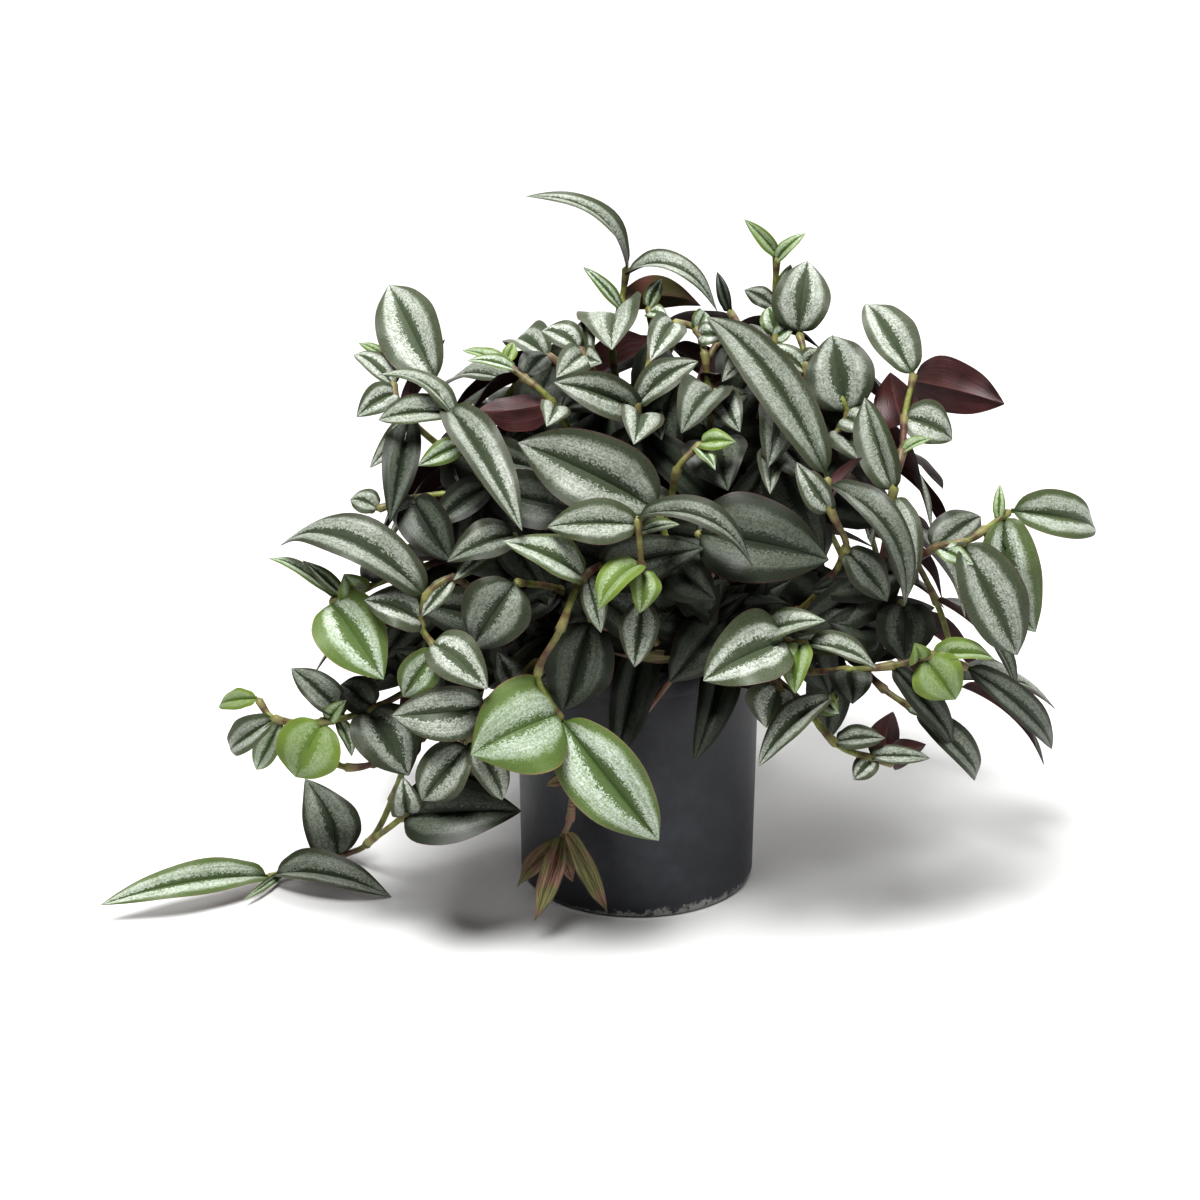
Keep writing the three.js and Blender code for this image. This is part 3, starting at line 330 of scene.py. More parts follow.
stem("right_far",
  [[840, 620, 66], [908, 566, 32], [940, 546, 12], [965, 542, 6], [987, 528, 4], [1013, 509, 0]],
  (5, [1100, 528, 2], 25, 16, 6, 0.45),
  (5, [1036, 633, -2], 30, 0, 6, 0.5, 5),
  (5, [1000, 484, 0], 6, 10, 1, 0.9),
  (3, [1012, 652, 8], 33, 10, 6, 0.17),
  (4, [1020, 597, 6], 9, 20, 3, 0.2),
  (2, [974, 566, 2], 10, 10, 2, 0.8),
  (2, [982, 516, 18], 20, 20, 4, 0.1),
  (1, [918, 584, 12], 10, 10, 2, 0.1))
stem("right_low", [[800, 672, 44], [850, 670, 18], [895, 665, 6], [935, 655, 0], [968, 668, 6]],
  (3, [995, 658, 0], 15, 32, 3, 0.95),
  (3, [956, 700, -6], 24, 0, 3, 1),
  (3, [915, 643, -4], 12, -20, 2, 1),
  (2, [958, 749, 4], 15, 20, 4, 0.05),
  (4, [1053, 750, 8], 16, 30, 9, 0.08),
  (1, [852, 706, 8], 20, 10, 3, 0.05))
stem("right_bottom", [[776, 672, 40], [804, 706, 20], [838, 745, 10], [878, 760, 6], [895, 764, 6]],
  (4, [926, 744, 6], 14, 160, 3, 0.0),
  (4, [896, 712, 8], 16, 150, 3, 0.0),
  (3, [853, 780, 6], 12, -10, 2, 0.3),
  (2, [886, 738, 4], 13, 20, 3, 0.15),
  (3, [931, 758, 2], 10, 20, 2, 0.2))
stem("right_hook", [[850, 660, 60], [885, 690, 30], [918, 712, 16]],
  (2, [990, 780, 8], 17, 35, 12, 0.1),
  (2, [934, 714, 6], 8, 10, 1, 0.6))
stem("right_bunch", [[736, 622, 44], [768, 636, 16], [790, 642, 8], [812, 644, 4]],
  (2, [702, 681, 0], 33, -18, 6, 0.35),
  (1, [826, 620, -2], 17, 25, 5, 0.35),
  (3, [877, 668, -4], 15, 28, 5, 0.25),
  (3, [795, 694, -6], 15, -15, 3, 0.95),
  (3, [856, 650, 8], 13, 20, 3, 0.4))
stem("right_under", [[752, 650, 54], [779, 689, 24], [812, 704, 16], [840, 697, 10]],
  (1, [766, 728, 20], 27, 10, 4, 0.25),
  (3, [758, 767, 6], 19, -30, 8, 0.3),
  (3, [842, 711, 2], 13, 0, 2, 0.8))
stem("right_dark", [[830, 660, 66], [880, 630, 34], [905, 600, 24]],
  (2, [905, 662, 16], 27, 5, 4, 0.05),
  (1, [828, 622, 30], 24, -15, 4, 0.0),
  (2, [884, 650, 26], 10, -20, 2, 0.3))
# Upper middle
stem("young_mid", [[668, 520, 44], [678, 468, 10], [704, 441, 2]],
  (2, [736, 442, -4], 11, 20, 3, 0.95),
  (2, [716, 470, 2], 9, 30, 2, 0.8),
  (0, [628, 488, 40], 20, -20, 4, 0.1))
stem("mitten", [[704, 500, 60], [708, 440, 26], [716, 388, 10]],
  (2, [681, 433, 4], 24, -22, 6, 0.12),
  (2, [740, 432, 8], 17, 20, 4, 0.12),
  (2, [750, 394, 16], 14, 20, 3, 0.1),
  (1, [728, 491, 14], 30, 12, 5, 0.05))
stem("tall_mid", [[764, 500, 66], [776, 440, 30], [776, 399, 14], [760, 356, 12], [728, 309, 12]],
  (3, [721, 381, 4], 18, -30, 5, 0.12),
  (4, [717, 271, 10], 7, 0, 2, 0.0),
  (3, [730, 336, 10], 13, -10, 3, 0.1),
  (2, [768, 468, 12], 22, 12, 5, 0.1),
  (1, [814, 484, 16], 23, 15, 5, 0.1),
  (1, [770, 494, 18], 14, -10, 3, 0.15))
stem("fold_top", [[640, 474, 62], [638, 402, 18], [652, 350, 18], [649, 305, 10]],
  (1, [699, 361, 6], 17, 30, 6, 0.15),
  (1, [553, 381, 4], 21, -15, 5, 0.15),
  (1, [634, 444, 8], 22, 10, 5, 0.15),
  (1, [662, 440, 20], 16, 20, 4, 0.1),
  (3, [662, 279, 8], 9, 20, 2, 0.6),
  (3, [668, 318, 4], 9, 30, 2, 0.6))
stem("long_top", [[622, 410, 60], [612, 350, 30], [622, 300, 16], [627, 266, 16]],
  (3, [525, 196, 12], 13, -50, 16, 0.25),
  (3, [721, 312, 8], 15, 38, 19, 0.15),
  (2, [702, 305, 14], 18, 150, 8, 0.5),
  (2, [583, 266, 14], 8, -30, 2, 0.7),
  (2, [612, 350, 2], 33, -5, 6, 0.2))
stem("tan_shoot", [[716, 440, 62], [708, 384, 28], [704, 350, 12], [695, 328, 8], [670, 322, 6]],
  (4, [650, 361, 0], 18, -10, 4, 0.25),
  (3, [704, 311, 6], 10, -10, 3, 0.5),
  (3, [726, 338, 6], 12, 20, 3, 0.35),
  (1, [716, 374, 14], 10, 150, 2, 0.0))
stem("young_top", [[752, 440, 70], [770, 380, 38], [776, 330, 16], [775, 300, 10], [777, 252, 10]],
  (4, [744, 219, 10], 8, -20, 2, 0.9),
  (4, [806, 233, 8], 8, 25, 3, 0.9),
  (3, [791, 264, 12], 10, -10, 2, 0.55),
  (3, [744, 290, 14], 11, -25, 3, 0.1),
  (2, [768, 306, 8], 13, -10, 3, 0.6),
  (2, [801, 320, 8], 11, 20, 2, 0.6),
  (1, [750, 322, 30], 20, -20, 4, 0.1))
stem("broad_right", [[790, 460, 74], [806, 404, 36], [806, 362, 18], [798, 330, 12]],
  (3, [808, 259, 10], 27, 5, 5, 0.15),
  (2, [822, 350, 10], 12, 20, 2, 0.3),
  (2, [770, 344, 14], 12, -20, 2, 0.4),
  (1, [852, 392, 20], 16, 20, 3, 0.15))
stem("silver_right", [[806, 480, 72], [840, 430, 32], [848, 410, 20], [824, 378, 12]],
  (2, [833, 338, 10], 32, 0, 5, 0.12),
  (3, [868, 357, 4], 9, 35, 2, 0.55),
  (1, [862, 462, 20], 20, 20, 4, 0.15),
  (2, [874, 440, 16], 16, 20, 3, 0.2))
# Upper left
stem("purple_left", [[586, 470, 66], [550, 400, 16], [522, 376, 8], [503, 361, 6]],
  (1, [478, 411, 8], 21, 165, 5, 0.0),
  (1, [547, 426, 4], 15, 10, 3, 0.2),
  (3, [514, 342, 4], 7, 0, 1, 1),
  (3, [462, 350, 4], 9, -30, 2, 0.9),
  (3, [466, 364, 2], 9, -40, 2, 0.6),
  (2, [548, 356, 14], 14, 30, 3, 0.0))
stem("fold_left", [[606, 460, 72], [598, 392, 34], [588, 362, 14], [578, 346, 8]],
  (3, [541, 330, 6], 16, -30, 4, 0.25),
  (3, [556, 378, 2], 16, -15, 3, 0.25),
  (3, [600, 362, 6], 12, 20, 3, 0.2),
  (3, [584, 318, 12], 12, 10, 3, 0.2),
  (1, [560, 410, 24], 22, -15, 4, 0.05))
stem("upper_left", [[530, 540, 66], [484, 484, 34], [462, 440, 12], [448, 405, 4], [436, 379, 6]],
  (3, [523, 530, -6], 24, 14, 7, 0.12),
  (3, [377, 420, 2], 16, -25, 5, 0.35),
  (3, [370, 393, -2], 15, -58, 8, 0.3),
  (4, [388, 281, 8], 32, 4, 5, 0.2),
  (3, [474, 404, -2], 8, 20, 1, 0.5),
  (2, [418, 466, 12], 12, -10, 2, 0.7),
  (1, [431, 528, 26], 18, -10, 4, 0.05))
stem("pale_left", [[520, 500, 76], [440, 446, 40], [402, 410, 16], [393, 384, 10], [399, 362, 10]],
  (2, [445, 339, 10], 10, 150, 3, 0.0),
  (3, [354, 354, 8], 15, -30, 4, 0.3),
  (3, [356, 417, 6], 15, -20, 4, 0.3),
  (4, [358, 342, 10], 7, -20, 2, 0.9),
  (2, [390, 522, 12], 19, 0, 4, 0.05),
  (2, [370, 468, 14], 12, -10, 3, 0.2))
# Left flank
stem("big_left",
  [[520, 622, 54], [476, 592, 26], [450, 578, 10], [423, 600, 4], [421, 626, 4], [438, 652, 2]],
  (3, [276, 541, -2], 27, -36, 20, 0.12),
  (2, [421, 617, 2], 11, -10, 2, 0.3),
  (4, [362, 603, -4], 22, -22, 6, 0.25),
  (5, [402, 698, 2], 18, 0, 3, 0.75),
  (5, [488, 690, -4], 23, 16, 6, 0.3),
  (5, [436, 700, 14], 16, 0, 3, 0.1))
stem("round_left", [[560, 590, 44], [514, 582, 10]],
  (1, [469, 650, 4], 32, -5, 5, 0.1),
  (0, [500, 620, 40], 16, 0, 3, 0.05))
stem("green_left", [[460, 560, 60], [392, 578, 22], [352, 594, 8], [328, 603, 2]],
  (3, [384, 680, -8], 33, 0, 5, 0.85),
  (3, [267, 555, 2], 9, -35, 4, 0.8),
  (3, [303, 562, 4], 8, -10, 1, 0.6),
  (2, [344, 574, -2], 16, 0, 2, 0.9),
  (1, [362, 560, 28], 20, -20, 4, 0.05))
stem("grey_left", [[540, 580, 66], [512, 534, 20]],
  (1, [447, 562, 6], 21, -20, 5, 0.1),
  (1, [455, 586, 12], 14, -30, 3, 0.35),
  (0, [500, 500, 50], 18, -20, 4, 0.05))
stem("dark_left", [[490, 560, 76], [452, 496, 28], [410, 500, 26], [374, 510, 22]],
  (1, [457, 554, 20], 19, 0, 4, 0.05),
  (2, [452, 562, 26], 24, 10, 4, 0.05),
  (3, [350, 500, 20], 13, -30, 3, 0.2),
  (2, [398, 534, 24], 20, 0, 4, 0.1),
  (0, [430, 500, 70], 20, -10, 4, 0.05))
stem("front_left", [[560, 652, 56], [512, 684, 22], [482, 708, 8], [467, 748, 8]],
  (2, [393, 718, 0], 27, -12, 6, 0.15),
  (3, [421, 803, 6], 25, -6, 5, 0.2),
  (3, [503, 801, 12], 18, 20, 5, 0.2),
  (1, [497, 652, 18], 14, 0, 3, 0.1))
stem("low_left",
  [[464, 650, 66], [408, 690, 28], [364, 712, 12], [320, 722, 2], [273, 718, 0], [256, 696, 0]],
  (5, [218, 706, 2], 11, -25, 3, 1),
  (4, [228, 751, 4], 17, -10, 4, 0.35),
  (3, [295, 779, -6], 31, -5, 4, 1),
  (3, [346, 700, 0], 9, 20, 2, 0.9),
  (3, [353, 757, 4], 8, 20, 2, 0.8),
  (4, [251, 780, 10], 14, 0, 3, 0.8),
  (3, [291, 668, 10], 17, -15, 4, 0.1),
  (2, [409, 776, 6], 33, 12, 6, 0.12),
  (2, [340, 682, 14], 18, -10, 4, 0.05))
stem("low_left_end", [[470, 700, 66], [420, 740, 34], [372, 764, 14], [345, 767, 8], [322, 756, 6]],
  (4, [304, 742, 8], 9, -10, 2, 0.8),
  (1, [384, 742, 30], 20, -10, 4, 0.05))
stem("dark_low", [[500, 730, 50], [446, 776, 24], [400, 819, 12], [366, 844, 16]],
  (2, [510, 806, 4], 33, 8, 6, 0.06),
  (2, [402, 772, 8], 16, 0, 4, 0.2),
  (1, [506, 786, 22], 26, 15, 5, 0.15),
  (1, [430, 838, 14], 22, 0, 4, 0.1))
# A dried shoot that hangs down the front of the pot, and a long stem that runs out along the ground
stem("dried_shoot", [
  [708, 628, -42], [697, 646, -58], [632, 728, -67], [576, 785, -67], [570, 820, -67], [556, 850, -66]],
  (3, [598, 812, -70], 9, 20, 2, 0.5),
  (3, [545, 786, -70], 8, -20, 3, 0.4),
  (5, [573, 882, -67], 9, 30, 1, 0.6),
  (5, [515, 887, -70], 12, -20, 2, 0.5),
  (5, [537, 916, -70], 13, 0, 2, 0.4),
  (5, [607, 914, -68], 11, 20, 3, 0.5), place=spot)
stem("trailing_stem", [
  [470, 640, -30], [420, 720, -36], [392, 800, -28], [366, 845, -8], [335, 857, 2], [300, 868, -10],
  [266, 878, -21]],
  (6, [96, 917, -58], 21, -25, 9, 0.55),
  (6, [393, 897, -38], 22, 30, 8, 0.25),
  (4, [304, 778, 10], 30, 18, 9, 0.2, 7),
  (6, [238, 904, -46], 5, 0, 1, 0.8), place=spot)


# The side and back of the mound
# The front view hides these stems, so one rule spreads them round the pot. Each rises to a crest and hangs
# down outside it, with leaves in turn on its left and right. Each front stem bears one shade leaf as well.
BACK_STEMS = 14
BACK_FIRST = 4
BACK_LAST = 176
BACK_REACH = (156, 150)
BACK_ASIDE = 20
BACK_CRESTS = (170, 232)
BACK_ENDS = (78, 128)
INNER_CREST = 262
INNER_END = 205
INNER_SHARE = 0.62
OUTER_SHARE = 0.9
BACK_LONG = (46, 70)
BACK_WIDE = (18, 29)
BACK_TURNS = (48, 74)
BACK_DROOPS = (0.15, 1.05)
SHADE_LONG = (44, 64)
SHADE_WIDE = (21, 30)
UPRIGHT = np.array([0.0, 0, 1])


def between(a, b, t):
    return a + (b - a) * t


def unit(a):
    return a / np.linalg.norm(a)


def turn(a, axis, degrees):
    """a turned about a unit axis: what lies along the axis stays, and the rest swings round."""
    c, s = math.cos(math.radians(degrees)), math.sin(math.radians(degrees))
    return a * c + np.cross(axis, a) * s + axis * np.dot(axis, a) * (1 - c)


def spread(i, k):
    """An even scatter from 0 to 1: the fractions of steps by two golden numbers."""
    return (i * 0.618034 + k * 0.754878) % 1


def shade(i, k, at):
    """An old leaf low on a stem, in the mound's shade, its way out turned round the line of sight."""
    a = 2 * math.pi * spread(i + 3 * k, 20 + k)
    way = unit(np.array([math.cos(a), -0.3, 0.75 * math.sin(a) - 0.15]))
    # Its youth is kept low, so it takes the darkest old-leaf tone: in part age, in part painted shade inside
    # the mound.
    return {"at": at, "way": way, "long": between(*SHADE_LONG, spread(i, 23 + k)),
            "wide": between(*SHADE_WIDE, spread(i, 26 + k)), "roll": 0, "arch": 4,
            "young": 0.1 * spread(i, 30 + k), "bow": 0}


for i, item in enumerate(stems):
    item["leaves"].append(shade(i, 0, -1 if i % 2 else 0))


def back_stems():
    """The stems of the sides and back, spread round the pot, with leaves in turn on their left and right."""
    for i in range(BACK_STEMS):
        even = between(BACK_FIRST, BACK_LAST, i / (BACK_STEMS - 1))
        azimuth = math.radians(even + 8 * (spread(i, 1) - 0.5))
        out = np.array([math.cos(azimuth), math.sin(azimuth), 0])
        aside = np.array([-out[1], out[0], 0])
        inner = i % 3 == 1
        reach = math.hypot(BACK_REACH[0] * out[0], BACK_REACH[1] * out[1])
        reach = reach * (INNER_SHARE if inner else OUTER_SHARE)
        crest = INNER_CREST if inner else between(*BACK_CRESTS, spread(i, 2))
        end = INNER_END if inner else between(*BACK_ENDS, spread(i, 3))
        shape = [
            (0.36, crest - 26, 0), (0.56, crest, 5 * (spread(i, 4) - 0.5)),
            (0.76, between(crest, end, 0.22), 14 * (spread(i, 5) - 0.5)),
            (0.92, between(crest, end, 0.6), 18 * (spread(i, 6) - 0.5)), (1, end, 22 * (spread(i, 7) - 0.5)),
        ]
        points = [np.array([BACK_ASIDE * share, 0, height]) + out * reach * share + aside * sway
                  for share, height, sway in shape]
        leaves = []
        for k in range(1, len(points)):
            for hand in [-1] if k % 2 else [-1, 1]:
                turn_out = between(*BACK_TURNS, spread(i + k, 8 + hand))
                droop = between(*BACK_DROOPS, k / len(points)) + 0.3 * (spread(i, k) - 0.5)
                swung = turn(out, UPRIGHT, hand * turn_out * (0.45 if k == 4 else 1))
                along = unit(swung - np.array([0, 0, droop]))
                leaves.append({
                    "at": k, "tip": points[k] + along * between(*BACK_LONG, spread(i * 2 + hand, k)),
                    "up": unit(UPRIGHT + out * (0.25 + 0.22 * k)),
                    "wide": between(*BACK_WIDE, spread(i + hand, k + 3)), "arch": 6, "roll": 0, "bow": 0,
                    "young": 0.5 * spread(i, k + hand + 9),
                })
        stems.append({"name": f"back_stem_{i + 1:02d}", "points": points, "leaves": leaves})


back_stems()


# How the stems and leaves stand
# Each stem is rooted in a hole of its own in the soil and leans over its shoulder to its first point. The
# solids' leaves were turned a little to clear one another, so their corners are searched for the turn.
HOLE_FIELD = 45
HOLE_PULL = 0.75
HOLE_DEPTH = 13
FOOT_CLEAR = 0.4
MOUTH_RISE = 3
GOLDEN_TURN = 2.399963
SHOULDER_ALONG = 0.42
SHOULDER_LIFT = 24
SHOULDER_RISE = 0.62
FIRST_FOLLOWS = 0.5
STEM_SIDES = 4
STEM_ROOT_RADIUS = 2.1
STEM_TIP_RADIUS = 1.5
LONG_STRETCH = 60
LEAF_STEP = 3.2
BLADE = 0.9
FOUND = 0.02
HIDDEN_DEPTH = 34
HIDDEN_TOP = 250
EXTRA_LEAVES = 7
EXTRA_TRIES = 9
EXTRA_FACE_UP = 0.7


def choose_holes():
    """Each stem takes, of holes spaced evenly over a round field, the free one nearest its way out."""
    turns = np.arange(len(stems))
    r, a = HOLE_FIELD * np.sqrt((turns + 0.5) / len(stems)), turns * GOLDEN_TURN
    holes = list(np.stack([r * np.cos(a), r * np.sin(a)], 1))
    for item in stems:
        way = item["points"][0][:2]
        aim = way * min(1, HOLE_FIELD / np.hypot(*way)) * HOLE_PULL
        nearest = min(range(len(holes)), key=lambda n: np.hypot(*(holes[n] - aim)))
        item["hole"] = holes.pop(nearest)


def smooth_line(points, steps=None):
    """A line through points whose slope at each is that from its neighbour before to its neighbour after."""
    points = np.array(points)
    back = points[np.maximum(np.arange(len(points)) - 1, 0)]
    ahead = points[np.minimum(np.arange(len(points)) + 1, len(points) - 1)]
    long = np.linalg.norm(points - back, axis=1) + np.linalg.norm(ahead - points, axis=1)
    slope = (ahead - back) / long[:, None]
    line, stops = [points[:1]], [0]
    for i in range(len(points) - 1):
        span = np.linalg.norm(points[i + 1] - points[i])
        count = steps or (2 if span > LONG_STRETCH else 1)
        t = (np.arange(count) + 1)[:, None] / count
        line.append((1 + 2 * t) * (1 - t) ** 2 * points[i] + t * (1 - t) ** 2 * span * slope[i]
                    + t * t * (3 - 2 * t) * points[i + 1] + t * t * (t - 1) * span * slope[i + 1])
        stops.append(stops[-1] + count)
    return np.concatenate(line), stops


def route(item, shift, steps=None):
    """A stem's line: from the bottom of its hole straight up, over its shoulder and on through its points."""
    hole, points = item["hole"], item["points"]
    foot = np.array([*hole, SOIL_TOP - HOLE_DEPTH + FOOT_CLEAR])
    mouth = np.array([*hole, SOIL_TOP + MOUTH_RISE])
    first = points[0] + shift * FIRST_FOLLOWS
    shoulder = between(mouth, first, SHOULDER_ALONG)
    shoulder[2] = max(SOIL_TOP + SHOULDER_LIFT, between(SOIL_TOP, first[2], SHOULDER_RISE))
    line, stops = smooth_line([mouth, shoulder + shift, first, *points[1:]], steps)
    return np.concatenate([foot[None], line]), [stop + 1 for stop in stops[1:]]


def stem_radius(t):
    return between(STEM_ROOT_RADIUS, STEM_TIP_RADIUS, t)


def tube_rings(line, sides, radius):
    """Rings of the given radii round a line, carried along it without twist."""
    count = len(line)
    ahead, back = line[np.minimum(np.arange(count) + 1, count - 1)], line[np.maximum(np.arange(count) - 1, 0)]
    heading = (ahead - back) / np.linalg.norm(ahead - back, axis=1)[:, None]
    across = unit(np.cross(heading[0], [1.0, 0, 0] if abs(heading[0][0]) < 0.9 else [0, 1.0, 0]))
    rings = []
    angle = np.arange(sides)[:, None] / sides * 2 * np.pi
    for i in range(count):
        across = unit(across - heading[i] * np.dot(across, heading[i]))
        other = np.cross(heading[i], across)
        rings.append(line[i] + (across * np.cos(angle) + other * np.sin(angle)) * radius[i])
    return np.array(rings)


def held(places, solid):
    """Whether every one of some places is a corner of a solid."""
    return all(np.min(np.sum((solid - place) ** 2, axis=1)) < FOUND**2 for place in places)


def step_back(line, corner, step):
    """The place on a line that lies a little way back from one of its corners."""
    here, left = corner, step
    while here > 1 and np.linalg.norm(line[here - 1] - line[here]) < left:
        left -= np.linalg.norm(line[here - 1] - line[here])
        here -= 1
    return line[here] + unit(line[here - 1] - line[here]) * left


SHIFTS = [np.array([x, y, lift]) for lift in (0, 12, 24, 36, 48, 60, 72)
          for x in (0, 7, -7, 14, -14, 22, -22, 32, -32) for y in (0, 7, -7, 14, -14, 22, -22, 32, -32)]
SHIFTS.sort(key=np.linalg.norm)
TURNS = [(0, 0, 0, 1)] + [(tilt, swing, roll, long) for long in (1, 0.82, 0.64) for roll in (0, 22, -22)
                          for swing in (0, 9, -9, 20, -20) for tilt in (0, 8, -8, 16, -16, 26, -26, 38, -38)]
TURNS.sort(key=lambda m: abs(m[0]) + 1.6 * abs(m[1]) + 0.5 * abs(m[2]) + 110 * (1 - m[3]))


def turned(item, move):
    """A leaf after a small turn about its base: tilted, swung, rolled, and made a little smaller."""
    tilt, swing, roll, long = move
    chord = item["tip"] - item["base"]
    side = unit(np.cross(chord, item["normal"]))
    tipped = turn(turn(chord, side, tilt), item["normal"], swing)
    along = unit(tipped)
    level = turn(turn(item["normal"], side, tilt), along, roll)
    return {**item, "tip": item["base"] + tipped * long, "normal": unit(level - along * np.dot(level, along)),
            "wide": item["wide"] * long, "arch": item["arch"] * long, "bow": item["bow"] * long}


def blade_tip(item):
    """The two corners at the tip of a leaf's solid, half its thickness above and below its midrib."""
    chord = item["tip"] - item["base"]
    side = unit(np.cross(chord, item["normal"]))
    up = unit(np.cross(side, chord - 4 * item["arch"] * item["normal"] - 4 * item["bow"] * side))
    return [item["tip"] + up * BLADE / 2, item["tip"] - up * BLADE / 2]


def settle(item, line, n):
    """A leaf's base on its stem, tip and facing. Leaves that share a point stand a little apart on the stem.
    Each faces the viewer, or the way it is told, and is rolled as stated."""
    one = item["leaves"][n]
    before = sum(other["at"] == one["at"] for other in item["leaves"][:n])
    base = step_back(line, item["stops"][one["at"] + 1], LEAF_STEP * (before + 0.5))
    tip = one["tip"] if "tip" in one else base + one["way"] * one["long"]
    along = unit(tip - base)
    aim = one.get("up", unit(EYE - base))
    facing = unit(aim - along * np.dot(aim, along))
    return {**one, "base": base, "tip": tip, "normal": turn(facing, along, -one["roll"])}


def fit_to_frame():
    """Finds which way each stem went and which turn each leaf took, by the corners of the CAD solids."""
    for item in stems:
        solid = np.array([v.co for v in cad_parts[item["name"]].data.vertices]) / MM
        for shift in SHIFTS:
            line, stops = route(item, shift)
            rings = tube_rings(line, STEM_SIDES, stem_radius(np.linspace(0, 1, len(line))))
            if held(rings[2], solid):
                break
        else:
            print("no route found for", item["name"])
        item["shift"], item["stops"] = shift, stops
        placed = []
        for n, one in enumerate(item["leaves"]):
            one = settle(item, line, n)
            fits = (turned(one, move) for move in TURNS)
            found = next((trial for trial in fits if held(blade_tip(trial), solid)), None)
            if found:
                placed.append(found)
            else:
                print("no leaf found at", item["name"], n)
        item["placed"] = placed


def depth_inside(place):
    """How far a place lies behind the mound's rounded front, in mm."""
    off = place - EYE
    away = VIEW_COS * off[1] - VIEW_SIN * off[2]
    across = VIEW_MIDDLE + off[0] / away * VIEW_DOTS
    down = VIEW_MIDDLE - (VIEW_SIN * off[1] + VIEW_COS * off[2]) / away * VIEW_DOTS
    return place[1] - mound(across, down, 0)[1]


def hidden(item):
    """Whether a leaf lies inside the mound from base to tip, and ends above the pot and under the crest."""
    inside = min(depth_inside(item["base"]), depth_inside(item["tip"])) > HIDDEN_DEPTH
    return inside and POT_HEIGHT < item["tip"][2] < HIDDEN_TOP


def fill_shade():
    """More leaves inside the mound than the CAD part has room for, in their own stems' pieces: each by the
    same rule, turned on until it lies hidden in the mound, or left out. Every other one faces outwards."""
    for i, item in enumerate(stems):
        line, _ = route(item, item["shift"])
        for k in range(1, EXTRA_LEAVES + 1):
            at = (0, -1, 1)[k % 3] if len(item["points"]) > 2 else -1
            outward = item["points"][max(at, 0)] * np.array([1, 1, 0])
            for n in range(EXTRA_TRIES):
                item["leaves"].append(shade(i + n, k, at))
                if k % 2:
                    item["leaves"][-1]["up"] = unit(outward) + UPRIGHT * EXTRA_FACE_UP
                placed = settle(item, line, len(item["leaves"]) - 1)
                if hidden(placed):
                    item["placed"].append({**placed, "plain": True})
                    break
                item["leaves"].pop()


choose_holes()
fit_to_frame()
fill_shade()


# The leafy stems
# Soft, jointed stems that trail out of the pot, each joint wrapped in a thin sheath, each leaf growing from
# its sheath without a stalk. Leaves are fleshy, folded at the midrib, silver-striped above and maroon below.
TUBE_SIDES = 10
TUBE_STEP = 1.5
TUBE_SLIM = 0.94
TUBE_END = 0.35
JOINT_SWELL = 0.2
JOINT_HALF = 1.9
SHEATH_LONG = 7.5
SHEATH_THICK = 0.25
SHEATH_FLARE = 0.6
HAIR_LONG = 1.8
HAIR_HALF = 0.07
LEAF_ROWS = 30
LEAF_COLUMNS = 13
SHADE_ROWS = 9
SHADE_COLUMNS = 5
MIDRIB_THICK = 0.62
EDGE_THICK = 0.14
FOLD_BASE = 38
FOLD_TIP = 12
FOLDS = (0.75, 1.1)
UNEVEN = 0.5
BULGES = (0.1, 0.24)
RIPPLES = (1.1, 2.4)
ROLLS = (-0.16, 0.2)
FULL = 1.05
NARROWING = 0.95
WIDEST = 0.393
BASE_SHARE = 0.03
BASE_HALF = 1.3
EDGE_WANDER = 0.03
TWIST = 26
TWIST_FROM = 0.25
RIPPLE = 0.075
CURL = 0.04
GROOVE_DEEP = 0.16
GROOVE_HALF = 0.07
GRAIN_MIDDLE = 0.14
TIP_FROM = 0.98
TIP_THIN = 0.4
LYING = 0.3
OLD_TO_GROWN = (0.02, 0.2)
GROWN_TO_YOUNG = (0.25, 0.75)
TENDER = (0.8, 1)
SILVER = (0.55, 0.97)
# Leaves deep in the mound are painted darker, as painted shade and in part as age; less so above a stem's
# first point.
DEEP_SHADE_AND_AGE_DEPTHS = (12, 70)
DEEP_SHADE_AND_AGE_UP_STEM = 0.55
DRY_CRUMPLE = 3
SEEDS_APART = 40
MARKS = ("Place", "Age", "Bands", "Tone")


def smooth_step(t, low, high):
    """0 below low and 1 above high, with a level start and end between them."""
    s = np.clip((t - low) / (high - low), 0, 1)
    return s * s * (3 - 2 * s)


def mouth_hairs(ring, centre, ahead):
    """A fine hair from each point of a sheath's mouth, leaning out and ahead, as a slim closed spike. The
    real ones are about 0.03 mm thick and would not show, so they are drawn 0.14 mm."""
    out = (ring - centre) / np.linalg.norm(ring - centre, axis=1)[:, None]
    side = np.cross(out, ahead)
    reach = HAIR_LONG * (0.75 + 0.25 * np.cos(np.arange(len(ring)) * 2.4))[:, None]
    tip = ring + (0.5 * out + 0.87 * ahead) * reach
    points = np.stack([ring + side * HAIR_HALF, ring - side * HAIR_HALF, ring + out * HAIR_HALF, tip], 1)
    spike = np.array([[0, 1, 2], [1, 0, 3], [0, 2, 3], [2, 1, 3]])
    return points.reshape(-1, 3), (np.arange(len(ring))[:, None, None] * 4 + spike).reshape(-1, 3)


